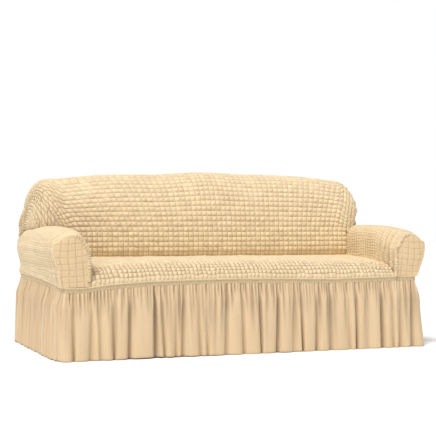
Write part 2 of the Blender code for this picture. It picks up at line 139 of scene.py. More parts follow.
# Top line of the back against the middle's height (x, z), and the heights it fades over
BACK_ARCH = (
    (-0.815, -0.045),
    (-0.600, -0.022),
    (-0.430, -0.015),
    (-0.250, -0.012),
    (-0.050, 0.002),
    (0.050, 0.004),
    (0.240, -0.003),
    (0.440, -0.003),
    (0.650, -0.012),
    (0.815, -0.030),
)
ARCH_RISE = (0.600, 0.880)
# Foot of the back's ends on the arms, from the front round to the rear seam (x, y)
BACK_END = (
    (0.8235, 0.052),
    (0.868, 0.064),
    (0.915, 0.104),
    (0.942, 0.170),
    (0.950, 0.260),
    (0.950, 0.380),
    (0.950, RIM_Y),
)
END_START_Z = 0.603
# Roundness of the ends at their foot, and of each end above a share of the back's height
FOOT_ROUNDNESS = 2.0
END_ROUNDNESS = {LEFT: 3.8, RIGHT: 2.7}
END_ROUNDED = 0.40
# Spread of the back's ends over the rear of the arms, the ranges of depth, height and turn
# it fades over, and how much it lifts their foot
SHOULDER = {LEFT: 0.036, RIGHT: 0.024}
SHOULDER_DEPTH = (0.380, 0.470)
SHOULDER_RISE = (0.655, 0.740)
SHOULDER_TURN = (0.3, 0.8)
SHOULDER_LIFT = 0.1
# How far each end's foot is drawn in again over the middle of the arm's depth
FOOT_TUCK = {LEFT: 0.0, RIGHT: 0.036}
FOOT_TUCK_START = (0.050, 0.120)
FOOT_TUCK_END = (0.250, 0.450)

# Arm's roll, from its inner side over the top and down to the girth line (x, z)
ARM_ROLL = (
    (0.815, 0.560),
    (0.824, 0.597),
    (0.850, 0.622),
    (0.893, 0.632),
    (0.945, 0.620),
    (0.983, 0.583),
    (0.998, 0.530),
    (0.993, 0.475),
    (0.976, 0.427),
    (0.955, 0.377),
)
# How far an arm's top sinks towards its front, or swells behind it (y, z), and the heights
# over which it does
ARM_TOP = {
    LEFT: (
        (-0.495, -0.044),
        (-0.470, -0.030),
        (-0.420, -0.020),
        (-0.250, -0.007),
        (0.000, 0.000),
        (0.505, 0.000),
    ),
    RIGHT: (
        (-0.495, -0.044),
        (-0.470, -0.028),
        (-0.420, -0.016),
        (-0.250, 0.002),
        (0.000, 0.008),
        (0.505, 0.004),
    ),
}
ARM_TOP_RISE = (0.530, 0.610)
# Height above which an arm's outer side is clear of the girth line, and how far it is tucked
# in behind over a range of its depth
SEAM_BLEND_Z = 0.440
REAR_TUCK = 0.014
TUCK_DEPTH = (0.300, 0.500)
# How far an arm's inner edge is rounded down at its front, with the ranges it fades over
FRONT_ROUNDING = 0.036
ROUNDED_X = (0.815, 0.875)
ROUNDED_Y = (-0.470, -0.200)
ROUNDED_Z = (0.450, 0.530)
# Dome of an arm's front and the x of its middle line
ARM_FRONT_DOME = 0.009
ARM_FRONT_SPINE = 0.905
# How far an arm's wrap reaches below the seat and under the back's end, the range of depth
# over which the end comes to cover it, and the share of the roll inside its outermost line
SEAT_OVERLAP = 0.015
END_OVERLAP = 0.012
END_COVERED_Y = (0.074, 0.170)
ROLL_TOP_SHARE = 0.52

# Skirt: how far its gathers puff it out under the band, and how much farther its hem stands
# (front, right, back, left)
PUFFS = (0.014, 0.024, 0.014, 0.021)
FLARES = (0.010, 0.024, 0.006, 0.001)
# Lift of the hem off the floor: on the left, and across the front (x, z)
HEM_LIFT_LEFT = 0.003
HEM_LIFT = (
    (-0.980, 0.000),
    (-0.800, 0.001),
    (-0.690, 0.002),
    (-0.520, 0.005),
    (-0.350, 0.003),
    (-0.200, 0.002),
    (0.000, 0.000),
    (0.170, 0.002),
    (0.350, 0.000),
    (0.980, 0.000),
)
# Name of each length, pitch of its folds (0 where they are a table), start of their unevenness
SKIRT_LENGTHS = (
    ("front", 0.000, 0.4),
    ("right", 0.056, 1.7),
    ("back", 0.064, 2.6),
    ("left", 0.056, 3.9),
)
# Troughs between the front's folds: place along the girth line, and depth
FRONT_FOLDS = (
    (-0.045, 0.4),
    (0.018, 0.9),
    (0.108, 0.7),
    (0.147, 0.5),
    (0.210, 1.0),
    (0.296, 1.2),
    (0.420, 1.1),
    (0.457, 0.8),
    (0.525, 0.6),
    (0.562, 0.9),
    (0.641, 0.7),
    (0.683, 0.5),
    (0.789, 0.8),
    (0.872, 0.9),
    (0.967, 1.1),
    (1.064, 1.3),
    (1.149, 0.3),
    (1.191, 1.3),
    (1.279, 1.1),
    (1.359, 1.0),
    (1.458, 0.4),
    (1.504, 1.3),
    (1.578, 0.3),
    (1.650, 1.4),
    (1.716, 0.4),
    (1.766, 0.9),
    (1.830, 1.1),
    (1.878, 0.4),
)
# Flat ends where two lengths of the skirt are joined
SKIRT_JOIN = 0.006
# A trough's half width, the gap at which a ridge has its full height, and its sides' height
TROUGH_SIDE = 0.018
FULL_RIDGE = 0.055
RIDGE_SIDE = 0.6
# Half depth of the folds under the band and at the hem, and how far they lean there
FOLD_TOP = 0.0025
FOLD_HEM = 0.0135
FOLD_LEAN = 0.010

# Where a raised cell and a flatter one have their points, as shares of the cell
CELL_POINTS = (0.0, 0.09, 0.27, 0.5, 0.73, 0.91)
FLAT_POINTS = (0.0, 0.12, 0.5, 0.88)
# A point inside the cover that each panel faces away from; an arm's stands on its spine
INSIDE_BACK = (0.0, 0.35, 0.55)
BEFORE_OUTSIDE_BACK = (0.0, 0.0, 0.60)
UNDER_SEAT = (0.0, -0.2, 0.20)
INSIDE_ARM = {side: (side * ARM_FRONT_SPINE, 0.0, 0.48) for side in (LEFT, RIGHT)}
BEHIND_BAND = (0.0, 0.0, 0.35)
BEHIND_SKIRT = (0.0, 0.0, 0.20)
# Points nearer than this are joined, where a grid's rows run together
MERGE = 0.00005


# Sizes and colours ------------------------------------------------------------------


def metres(name, description, value):
    """A length property."""
    return FloatProperty(name=name, description=description, default=value, unit="LENGTH")


def colour(name, description, value):
    """A colour property, linear RGB."""
    return FloatVectorProperty(
        name=name, description=description, default=value, subtype="COLOR", min=0.0, max=1.0
    )


class SlipcoverSizes(bpy.types.PropertyGroup):
    """Sizes of the knit, the gathers and the seams."""

    cell: metres("Cell", "Pitch of the knit's raised cells", 0.0285)
    seat_cell: metres("Seat Cell", "Pitch of the seat's raised cells", 0.0225)
    puff: metres("Puff", "Height of a raised cell", 0.0075)
    arm_cell: metres("Arm Cell", "Length of a stretched cell along an arm", 0.026)
    arm_row: metres("Arm Row", "Height of a stretched cell round an arm", 0.0120)
    arm_puff: metres("Arm Puff", "Height of a stretched cell", 0.0042)
    check_width: metres("Check Width", "Width of a check on an arm front", 0.034)
    check_height: metres("Check Height", "Height of a check on an arm front", 0.030)
    seam_roll: metres("Seam Roll", "Radius of the band's rolled seam", 0.0030)
    gather: metres("Gather", "Pitch of the skirt's fine gathers", 0.0165)
    gather_depth: metres("Gather Depth", "Depth of the skirt's fine gathers", 0.0140)
    hem: metres("Hem", "Depth of the skirt's turned hem", 0.012)
    rib: metres("Rib", "Pitch of the elastic band's shirring", 0.0060)
    seed: IntProperty(name="Seed", description="Start of the cloth's unevenness", default=7)


class SlipcoverColours(bpy.types.PropertyGroup):
    """Colours of the cloths and of the floor."""

    knit: colour("Knit", "Raised cells of the knit", (0.795, 0.627, 0.390))
    # The threads' own colour, which the cloths also use for their painted shade
    groove_and_shade: colour("Groove", "Threads between the cells", (0.36, 0.255, 0.155))
    check: colour("Check", "Ground of the arm fronts", (0.74, 0.553, 0.328))
    check_line: colour("Check Line", "Woven lines of the arm fronts", (0.44, 0.28, 0.14))
    elastic: colour("Elastic", "Shirred elastic band", (0.69, 0.55, 0.33))
    skirt: colour("Skirt", "Plain gathered skirt", (0.718, 0.537, 0.330))
    floor: colour("Floor", "Pale floor", (0.93, 0.93, 0.93))


# Curves and noise -------------------------------------------------------------------

# After so many units the noise repeats, and after so many cells their unevenness does
NOISE_SIZE = 64
CELL_KINDS = 97


def smooth(value, start, end):
    """0 before start, 1 past end, and an even ease between them."""
    share = np.clip((value - start) / (end - start), 0.0, 1.0)
    return share * share * (3.0 - 2.0 * share)


def running_length(points):
    """Length along a line of points up to each of them."""
    steps = np.linalg.norm(np.diff(points, axis=0), axis=1)
    return np.concatenate([[0.0], np.cumsum(steps)])


def join(*parts):
    """Grid of points, or of pairs, from its parts."""
    return np.stack(np.broadcast_arrays(*parts), axis=-1)


class Curve:
    """A smooth curve through a table's rows, read by length or by its first column."""

    STEPS = 24

    def __init__(self, rows):
        """Points along the curve, so many for each of the table's spans."""
        knots = np.array(rows, dtype=float)
        knots = np.vstack([2 * knots[0] - knots[1], knots, 2 * knots[-1] - knots[-2]])
        share = np.linspace(0.0, 1.0, self.STEPS, endpoint=False)[:, None]
        spans = []
        for before, start, end, after in zip(knots, knots[1:], knots[2:], knots[3:]):
            speed = end - before
            bend = 2 * before - 5 * start + 4 * end - after
            twist = 3 * start - before - 3 * end + after
            spans.append(start + 0.5 * share * (speed + share * (bend + share * twist)))
        self.points = np.vstack(spans + [knots[-2]])
        self.lengths = running_length(self.points)
        self.length = self.lengths[-1]

    def at(self, share):
        """Points at shares, 0 to 1, of the curve's length."""
        along = np.asarray(share) * self.length
        return [np.interp(along, self.lengths, column) for column in self.points.T]

    def value(self, first):
        """Second column where the first, which must rise along the curve, is reached."""
        return np.interp(first, self.points[:, 0], self.points[:, 1])

    def share_of(self, column, value, until=1.0):
        """Share of the length at which a rising column first reaches a value."""
        last = np.searchsorted(self.lengths, until * self.length)
        rising = self.points[: last + 1, column]
        return np.interp(value, rising, self.lengths[: last + 1]) / self.length


front_seam = Curve(FRONT_SEAM)
left_seam = Curve(LEFT_SEAM)
right_seam = Curve(RIGHT_SEAM)
back_seam = Curve(BACK_SEAM)
seat_profile = Curve(SEAT_PROFILE)
back_profile = Curve(BACK_PROFILE)
back_arch = Curve(BACK_ARCH)
back_end = Curve(BACK_END)
arm_roll = Curve(ARM_ROLL)
arm_top = {side: Curve(rows) for side, rows in ARM_TOP.items()}
hem_lift = Curve(HEM_LIFT)
ROLL_CREST = arm_roll.share_of(1, ARM_ROLL[3][1], until=0.4)
END_START = back_profile.share_of(1, END_START_Z, until=0.5)


def soft_noise(across, up, seed):
    """Smooth noise from -1 to 1 with about one hill a unit, the same each time."""
    table = np.random.default_rng(seed).uniform(-1.0, 1.0, (NOISE_SIZE, NOISE_SIZE))
    i, j = np.floor(across).astype(int), np.floor(up).astype(int)
    s, t = across - i, up - j
    s, t = s * s * (3 - 2 * s), t * t * (3 - 2 * t)
    i, i_next, j, j_next = (part % NOISE_SIZE for part in (i, i + 1, j, j + 1))
    low = table[i, j] * (1 - s) + table[i_next, j] * s
    high = table[i, j_next] * (1 - s) + table[i_next, j_next] * s
    return low * (1 - t) + high * t


def cell_lines(cells, points):
    """Lattice places of a sheet's lines: the inner points of each cell, and the last edge."""
    places = [k + share for k in range(cells) for share in points]
    return np.array(places + [cells], dtype=float)


def puffs(across, up, seed, squareness=3.2, sag=0.0, columns=1.0, rows=1.0):
    """Height, 0 to about 1.2, of uneven raised cells, which hang by a share of their height.

    columns and rows say how deep the lines between the columns and the rows are.
    """
    i, j = np.floor(across).astype(int), np.floor(up).astype(int)
    s, t = 2 * (across - i) - 1, 2 * (up - j) - 1
    lift, lean, tip, pinch = np.random.default_rng(seed).random((4, CELL_KINDS, CELL_KINDS))
    here = (i % CELL_KINDS, j % CELL_KINDS)
    shape = (1 - np.abs(s) ** squareness) ** columns * (1 - np.abs(t) ** squareness) ** rows
    uneven = 1 + 0.55 * (lean[here] - 0.5) * s + (0.55 * (tip[here] - 0.5) - sag) * t
    crease = 0.22 * (pinch[here] > 0.55) * np.exp(-(((s + t) / 0.45) ** 2))
    return shape * (0.72 + 0.5 * lift[here]) * uneven * (1 - crease)


# The girth line ---------------------------------------------------------------------

GIRTH_WIDTH = GIRTH_LEFT + GIRTH_RIGHT - 2 * GIRTH_CORNER
GIRTH_DEPTH = GIRTH_BACK - GIRTH_FRONT - 2 * GIRTH_CORNER
GIRTH_TURN = GIRTH_CORNER * math.pi / 2


def girth_table():
    """Rows of the girth line: distance along it, x, y and the outward direction's x, y."""
    rows = []
    along = 0.0
    centre = np.array([-GIRTH_LEFT + GIRTH_CORNER, GIRTH_FRONT + GIRTH_CORNER])
    heading = np.array([1.0, 0.0])
    for run in (GIRTH_WIDTH, GIRTH_DEPTH, GIRTH_WIDTH, GIRTH_DEPTH):
        outward = np.array([heading[1], -heading[0]])
        for step in np.linspace(0.0, run, 80):
            spot = centre + heading * step + outward * GIRTH_CORNER
            rows.append((along + step, *spot, *outward))
        along += run
        centre = centre + heading * run
        for angle in np.linspace(0.0, math.pi / 2, 30)[1:-1]:
            turned = outward * math.cos(angle) + heading * math.sin(angle)
            rows.append((along + angle * GIRTH_CORNER, *(centre + turned * GIRTH_CORNER), *turned))
        along += GIRTH_TURN
        heading = np.array([-heading[1], heading[0]])
    table = np.array(rows)
    table[:, 1] -= GIRTH_SPREAD * (table[:, 1] < 0.0) * (table[:, 2] - GIRTH_FRONT)
    return table, along


GIRTH, GIRTH_LENGTH = girth_table()


def girth_place(along):
    """x, y and the outward direction's x, y on the girth line."""
    return [np.interp(along, GIRTH[:, 0], column, period=GIRTH_LENGTH) for column in GIRTH[:, 1:].T]


def girth_lengths(past):
    """Start and end of the four lengths, with seams at a distance past the corners' starts."""
    back = GIRTH_WIDTH + GIRTH_DEPTH + 2 * GIRTH_TURN
    ends = [-past, GIRTH_WIDTH + past, back - past, back + GIRTH_WIDTH + past]
    ends.append(GIRTH_LENGTH - past)
    return list(zip(ends, ends[1:]))


def by_side(out_x, out_y, front, right, back, left):
    """Blend of four sides' values by the direction in which a place faces."""
    return np.where(out_x > 0, right, left) * out_x ** 2 + np.where(out_y > 0, back, front) * out_y ** 2


def girth_height(x, y, out_x, out_y):
    """Height of the girth line at places on it."""
    return by_side(
        out_x, out_y, front_seam.value(x), right_seam.value(y), back_seam.value(x), left_seam.value(y)
    )


# Surfaces of the panels -------------------------------------------------------------


def seat_point(x, share):
    """Seat surface: share 0 is under the back and 1 is the seam on the band."""
    y, z = seat_profile.at(share)
    seam_z = SEAT_PROFILE[-1][1]
    middle = 1.0 - (x / SEAT_EDGE) ** 4
    swell = smooth(-y, *CROWN_DEPTH) * smooth(z, seam_z, CROWN_Z)
    z = z + SEAT_CROWN * middle * swell
    z = z + (front_seam.value(x) - seam_z) * (1.0 - smooth(z, seam_z, SEAM_DIPS_Z))
    return x, y, z + TUCK_GAP * smooth(share, 0.9, 1.0)


def seat_height_at_arm(y):
    """Height of the seat along the arm's inner side."""
    return np.interp(-y, -seat_profile.points[:, 0], seat_profile.points[:, 1])


def arm_point(side, y, share):
    """Arm's roll: share 0 is at its inner side and 1 is the seam on the band."""
    x, z = arm_roll.at(share)
    if side == LEFT:
        girth = GIRTH_LEFT + GIRTH_SPREAD * (y - GIRTH_FRONT)
        seam = left_seam.value(y)
    else:
        girth = GIRTH_RIGHT
        seam = right_seam.value(y)
    roll_x, roll_z = ARM_ROLL[-1]
    outside = x > ARM_FRONT_SPINE
    low = outside * (1.0 - smooth(z, roll_z, SEAM_BLEND_Z))
    x = x + (girth - roll_x) * low
    x = x - outside * REAR_TUCK * smooth(y, *TUCK_DEPTH) * (1.0 - low)
    z = z + (seam + EDGE_GAP - roll_z) * low
    rounded = (1.0 - smooth(x, *ROUNDED_X)) * (1.0 - smooth(y, *ROUNDED_Y))
    rounding = FRONT_ROUNDING * rounded * smooth(z, *ROUNDED_Z)
    z = z + arm_top[side].value(y) * smooth(z, *ARM_TOP_RISE) - rounding
    return side * x, y, z


def arm_height(side, x, y):
    """Height of an arm's upper surface at a distance x from the middle."""
    return arm_point(side, y, arm_roll.share_of(0, x, until=ROLL_TOP_SHARE))[2]


def back_end_x(y):
    """Distance from the middle to the foot of the back's end."""
    return np.interp(y, back_end.points[:, 1], back_end.points[:, 0])


def shoulder(side, y):
    """How far the foot of the back's end spreads over the arm, or is drawn in from it."""
    drawn = FOOT_TUCK[side] * smooth(y, *FOOT_TUCK_START) * (1.0 - smooth(y, *FOOT_TUCK_END))
    return SHOULDER[side] * smooth(y, *SHOULDER_DEPTH) - drawn


def back_point(x, share):
    """Inside back between the arms: share 0 is on the seat and 1 is the rear seam."""
    y, z = back_profile.at(share)
    z = z + back_arch.value(x) * smooth(z, *ARCH_RISE)
    return x, y, z + SEAM_GAP * (np.asarray(share) == 0.0)


def back_end_point(side, turn, share):
    """Inside back round its end: turn 0 is over the arm's inner side, 1 is on the arm."""
    edge_y, edge_z = back_point(side * SEAT_EDGE, share)[1:]
    foot_x, foot_y = back_end.at((share - END_START) / (1.0 - END_START))
    wide = shoulder(side, foot_y)
    foot_z = arm_height(side, foot_x + wide, foot_y) + RISE_GAP + SHOULDER_LIFT * np.maximum(wide, 0.0)
    angle = turn * math.pi / 2
    rounder = smooth(share, END_START, END_ROUNDED)
    power = 2.0 / (FOOT_ROUNDNESS + (END_ROUNDNESS[side] - FOOT_ROUNDNESS) * rounder)
    out = np.sin(angle) ** power
    up = np.abs(np.cos(angle)) ** power
    x = SEAT_EDGE + (foot_x - SEAT_EDGE) * out
    y = edge_y + (foot_y - edge_y) * np.sin(angle) ** 2
    z = foot_z + (edge_z - foot_z) * up
    spread_out = shoulder(side, y) - REAR_TUCK * smooth(y, *TUCK_DEPTH)
    x = x + spread_out * (1.0 - smooth(z, *SHOULDER_RISE)) * smooth(turn, *SHOULDER_TURN)
    return side * x, y, z


# Meshes -----------------------------------------------------------------------------


def outward_normals(points, inside):
    """Unit normals of a grid of points, turned away from the point inside."""
    along = np.gradient(points, axis=1)
    up = np.gradient(points, axis=0)
    normals = np.cross(along, up)
    sizes = np.linalg.norm(normals, axis=2, keepdims=True)
    flat = sizes[..., 0] < 1e-12
    normals = normals / np.maximum(sizes, 1e-12)
    for row in range(len(points) - 2, -1, -1):
        normals[row][flat[row]] = normals[row + 1][flat[row]]
    if np.sum(normals * (points - np.array(inside))) < 0.0:
        normals = -normals
    return normals


def lay_cloth(name, points, cells, materials, inside, keep=None, second=None, lines=1.0, dark=0.0):
    """Object with one sheet over a grid of points, facing away from the point inside.

    cells are its places in the cloth's own measure and become its UV map. keep says which
    faces belong to it and second which faces have the second material. lines says how strong
    the knit's lines are, and dark how much painted shade darkens the cloth at each point,
    mostly in its creases.
    """
    rows, columns = points.shape[:2]
    index = np.arange(rows * columns).reshape(rows, columns)
    quads = np.stack([index[:-1, :-1], index[:-1, 1:], index[1:, 1:], index[1:, :-1]], axis=-1)
    shape = (rows - 1, columns - 1)
    kind = np.zeros(shape, dtype=np.int32) if second is None else second.astype(np.int32)
    keep = np.ones(shape, dtype=bool) if keep is None else keep
    quads, kind = quads[keep], kind[keep]
    used, corners = np.unique(quads, return_inverse=True)
    corners = corners.reshape(-1, 4)
    places = points.reshape(-1, 3)[used]
    a, b, c = (places[corners[:, k]] for k in range(3))
    if np.sum(np.cross(b - a, c - a) * (a - np.array(inside))) < 0.0:
        corners = corners[:, ::-1]
    mesh = bpy.data.meshes.new(name)
    mesh.vertices.add(len(places))
    mesh.vertices.foreach_set("co", places.astype(np.float32).ravel())
    mesh.loops.add(corners.size)
    mesh.loops.foreach_set("vertex_index", corners.astype(np.int32).ravel())
    mesh.polygons.add(len(corners))
    mesh.polygons.foreach_set("loop_start", np.arange(0, corners.size, 4, dtype=np.int32))
    mesh.polygons.foreach_set("material_index", kind)
    # The tone map holds the lines' strength and the painted shade
    tone = join(lines, dark, cells[..., 0])[..., :2]
    for layer, places in (("cloth", cells), ("tone", tone)):
        data = mesh.uv_layers.new(name=layer).data
        data.foreach_set("uv", places.reshape(-1, 2)[used][corners].astype(np.float32).ravel())
    mesh.update(calc_edges=True)
    grid = bmesh.new()
    grid.from_mesh(mesh)
    bmesh.ops.remove_doubles(grid, verts=grid.verts, dist=MERGE)
    grid.to_mesh(mesh)
    grid.free()
    mesh.shade_smooth()
    for material in materials:
        mesh.materials.append(material)
    piece = bpy.data.objects.new(name, mesh)
    bpy.context.scene.collection.objects.link(piece)
    return piece


def finish_piece(piece, node):
    """Puts a cloth piece on the frame: it stands for its node and rides on the root."""
    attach(piece, "root")
    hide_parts(node)


# Materials --------------------------------------------------------------------------


class Shading:
    """A material's node tree, with short ways to add and join its nodes."""

    def __init__(self, name, base_roughness, sheen, sheen_roughness=0.5):
        """A new material with a cloth's dull finish."""
        self.material = bpy.data.materials.new(name)
        self.material.use_nodes = True
        self.tree = self.material.node_tree
        self.shader = self.tree.nodes["Principled BSDF"]
        self.shader.inputs["Roughness"].default_value = base_roughness
        self.shader.inputs["Sheen Weight"].default_value = sheen
        self.shader.inputs["Sheen Roughness"].default_value = sheen_roughness
        self.shader.inputs["Specular IOR Level"].default_value = 0.25

    def add(self, kind, inputs=(), **settings):
        """A new node with its settings, and its inputs by name or number."""
        made = self.tree.nodes.new("ShaderNode" + kind)
        for key, value in settings.items():
            setattr(made, key, value)
        for key, value in dict(inputs).items():
            if isinstance(value, bpy.types.NodeSocket):
                self.tree.links.new(value, made.inputs[key])
            else:
                made.inputs[key].default_value = value
        return made

    def math(self, operation, first, second=0.0):
        """Result of one arithmetic step."""
        return self.add("Math", {0: first, 1: second}, operation=operation).outputs[0]

    def ease(self, value, start, end, low=0.0, high=1.0):
        """Value eased from low to high between start and end."""
        inputs = {"Value": value, "From Min": start, "From Max": end, "To Min": low, "To Max": high}
        made = self.add("MapRange", inputs, interpolation_type="SMOOTHSTEP")
        return made.outputs["Result"]

    def mix(self, share, first, second):
        """Mix of two colours."""
        made = self.add("Mix", data_type="RGBA")
        for key, value in (("Factor", share), ("A", first), ("B", second)):
            socket = next(s for s in made.inputs if s.name == key and s.enabled)
            if isinstance(value, bpy.types.NodeSocket):
                self.tree.links.new(value, socket)
            else:
                socket.default_value = value if key == "Factor" else (*value[:3], 1.0)
        return next(s for s in made.outputs if s.enabled)

    def noise(self, vector, scale, detail=2.0, roughness=0.5):
        """Noise from 0 to 1."""
        inputs = {"Vector": vector, "Scale": scale, "Detail": detail, "Roughness": roughness}
        return self.add("TexNoise", inputs).outputs["Fac"]

    def stretched(self, vector, x, y):
        """A vector with its first two parts scaled."""
        return self.add("Mapping", {"Vector": vector, "Scale": (x, y, 1.0)}).outputs["Vector"]

    def wear(self, scale):
        """Broad uneven patches over the whole piece, from 0 to 1."""
        return self.noise(self.add("TexCoord").outputs["Object"], scale, 3.0)

    def cloth(self):
        """Places in the cloth's own measure, whole and as its two parts."""
        vector = self.add("UVMap", uv_map="cloth").outputs["UV"]
        parts = self.add("SeparateXYZ", {"Vector": vector})
        return vector, parts.outputs["X"], parts.outputs["Y"]

    def tone(self):
        """Strength of the knit's lines, and the painted shade in the cloth's creases and shaded places.
        """
        vector = self.add("UVMap", uv_map="tone").outputs["UV"]
        parts = self.add("SeparateXYZ", {"Vector": vector})
        return parts.outputs["X"], parts.outputs["Y"]

    def edge(self, part):
        """Distance from a cell's middle line, 0 there and 1 on its edge."""
        share = self.math("FRACT", part)
        return self.math("MULTIPLY", self.math("ABSOLUTE", self.math("SUBTRACT", share, 0.5)), 2.0)

    def finish(self, base, height, depth):
        """Joins the colour and the fine relief to the shader."""
        self.tree.links.new(base, self.shader.inputs["Base Color"])
        bump = self.add("Bump", {"Height": height, "Strength": 1.0, "Distance": depth})
        self.tree.links.new(bump.outputs["Normal"], self.shader.inputs["Normal"])
        return self.material


def shade(value, factor):
    """A colour made darker or paler, up to white."""
    return tuple(min(1.0, factor * part) for part in value)


def knit_material(name, ground, line, line_start, line_share, crinkle, depth, sheen, uneven):
    """Seersucker knit: raised cells with darker threads between them and fine crinkles.

    line_start is the share of a cell at which its lines begin and line_share how strong they
    are, crinkle how many crinkles a cell has each way, and uneven how much the cells differ.
    """
    shading = Shading(name, 0.86, sheen)
    vector, across, up = shading.cloth()
    edge = shading.math("MAXIMUM", shading.edge(across), shading.edge(up))
    lines, painted_shade = shading.tone()
    # Lines between the cells: partly the threads' own colour, partly painted shade in the grooves
    groove_and_shade = shading.math("MULTIPLY", shading.ease(edge, line_start, 1.0, 0.0, line_share), lines)
    cell = shading.add("VectorMath", {0: vector}, operation="FLOOR").outputs[0]
    tone = shading.add("TexWhiteNoise", {"Vector": cell}, noise_dimensions="2D").outputs["Value"]
    wear = shading.wear(3.5)
    crinkles = shading.noise(shading.stretched(vector, *crinkle), 1.0, 3.0, 0.6)
    stitches = shading.noise(shading.stretched(vector, 26.0, 9.0), 1.0, 1.0)
    dark, bright = shade(ground, 0.90), shade(ground, 1.045)
    spread = 0.5 * uneven
    base = shading.mix(shading.ease(tone, 0.0, 1.0, 0.5 - spread, 0.5 + spread), dark, bright)
    base = shading.mix(shading.ease(wear, 0.3, 0.7, 0.0, 0.35), base, dark)
    # Painted shade in the crinkles' hollows: where the crinkles are low the colour goes towards the
    # thread colour
    base = shading.mix(shading.ease(crinkles, 0.52, 0.30, 0.0, 0.30), base, line)
    base = shading.mix(groove_and_shade, base, line)
    # Painted shade: the creases and other shaded places are mixed towards the thread colour
    base = shading.mix(painted_shade, base, line)
    height = shading.math("ADD", crinkles, shading.math("MULTIPLY", stitches, 0.12))
    return shading.finish(base, height, depth)


def check_material(name, ground, line):
    """Stretched flat knit with a thin woven check, a doubled line and fine cross ribs."""
    shading = Shading(name, 0.84, 0.18)
    vector, across, up = shading.cloth()
    across, up = shading.edge(across), shading.edge(up)
    upright, level = shading.ease(across, 0.74, 0.98), shading.ease(up, 0.76, 0.98, 0.0, 0.9)
    main = shading.math("MAXIMUM", upright, level)
    upright, level = shading.ease(across, 0.16, 0.0, 0.0, 0.16), shading.ease(up, 0.2, 0.0, 0.0, 0.2)
    middle = shading.math("MAXIMUM", upright, level)
    uneven = shading.noise(shading.stretched(vector, 1.3, 1.3), 1.0, 3.0)
    strength = shading.ease(uneven, 0.25, 0.7, 0.25, 0.72)
    lines = shading.math("MULTIPLY", shading.math("MAXIMUM", main, middle), strength)
    ribs = shading.noise(shading.stretched(vector, 3.0, 24.0), 1.0, 2.0)
    base = shading.mix(shading.ease(ribs, 0.3, 0.7), shade(ground, 0.9), ground)
    base = shading.mix(lines, base, line)
    height = shading.math("SUBTRACT", shading.math("MULTIPLY", ribs, 0.5), lines)
    return shading.finish(base, height, 0.0006)


def elastic_material(name, ground, line):
    """Shirred elastic: fine upright ribs with darker threads in between."""
    shading = Shading(name, 0.9, 0.1)
    vector = shading.cloth()[0]
    ribs = shading.noise(shading.stretched(vector, 2.2, 0.6), 1.0, 3.0, 0.7)
    threads = shading.noise(shading.stretched(vector, 0.4, 7.0), 1.0, 2.0)
    base = shading.mix(shading.ease(ribs, 0.60, 0.38, 0.0, 0.62), ground, line)
    base = shading.mix(shading.ease(threads, 0.6, 0.4, 0.0, 0.2), base, line)
    height = shading.math("ADD", ribs, shading.math("MULTIPLY", threads, 0.4))
    return shading.finish(base, height, 0.0012)


def plain_material(name, ground, crease):
    """Smooth plain knit of the skirt, with faint upright lines and a soft sheen."""
    shading = Shading(name, 0.7, 0.35, 0.35)
    vector = shading.cloth()[0]
    lines = shading.noise(shading.stretched(vector, 160.0, 3.0), 1.0, 2.0)
    weave = shading.noise(shading.stretched(vector, 900.0, 500.0), 1.0, 1.0)
    wear = shading.wear(2.6)
    dark = shade(ground, 0.9)
    base = shading.mix(shading.ease(lines, 0.3, 0.7, 0.0, 0.55), ground, dark)
    base = shading.mix(shading.ease(wear, 0.35, 0.7, 0.0, 0.4), base, dark)
    # Painted shade from the tone map: gathers, folds, hem and left side are mixed towards the crease
    # colour
    base = shading.mix(shading.tone()[1], base, crease)
    height = shading.math("ADD", lines, shading.math("MULTIPLY", weave, 0.25))
    return shading.finish(base, height, 0.0005)


# The knit as it lies unstretched: see knit_material
KNIT_LOOKS = {
    "line_start": 0.72,
    "line_share": 0.52,
    "crinkle": (2.6, 3.4),
    "depth": 0.0016,
    "sheen": 0.12,
    "uneven": 1.0,
}


def knit(name, **changes):
    """The cover's knit from its colours, with changes for a stretched panel."""
    colours = bpy.context.scene.slipcover_colours
    return knit_material(name, tuple(colours.knit), tuple(colours.groove_and_shade), **KNIT_LOOKS | changes)


# The back ---------------------------------------------------------------------------

# The ends of the back: points across each, steps in which half a row is measured, how far the
# top row follows the rear seam, width of the cells, slope at which the rows run down to the
# arm and the length over which they bend,
# how much the columns lean outwards, their slope at the foot and its growth up to a height,
# and how deep the foot is pressed onto the arm
END_STEPS = 100
RUN_STEPS = 400
END_TOP = 0.62
END_CELL = 0.034
END_SLOPE = 1.5
END_BEND = 0.10
END_LEAN = {LEFT: 1.25, RIGHT: 0.6}
LEAN_FOOT = 0.42
LEAN_GROWTH = 1.1
LEAN_RISE = 0.33
FOOT_PRESS = 0.0020
# Raised cells of the inside back: how far they hang, how much deeper they are beside the
# arms, how much flatter over a range of the profile, and how high its broad waves are
BACK_SAG = 0.3
FOOT_DEEPER = 0.6
BACK_FLATTER = 0.6
BACK_FLAT_RANGE = (0.45, 0.80)
BACK_WAVE = 0.0022
# Its lines: how much they fade over a range of the profile and how much stronger they are
# beside the arms and, on each side, round the ends
BACK_LINES_FADE = 0.30
BACK_FADE_RANGE = (0.50, 0.80)
FOOT_LINES = 0.3
END_LINES = {LEFT: 1.3, RIGHT: -0.3}
# Range of length round each end over which its lines come in, how much painted shade
# darkens its foot's creases and its left end, and the share of the relief that stays
# at its edges
ROUND_END = (-0.30, 0.05)
FOOT_PAINTED_SHADE = 0.45
END_PAINTED_SHADE = 0.10
EDGE_RELIEF = 0.25
# Outside back: its finished width and height, share of the full puff and height of its waves
OUTSIDE_WIDTH = 1.96
OUTSIDE_HEIGHT = 0.54
OUTSIDE_PUFF = 0.75
OUTSIDE_WAVE = 0.003
# Steps round each end that belong to the outside back's top edge
TOP_STEPS = 6


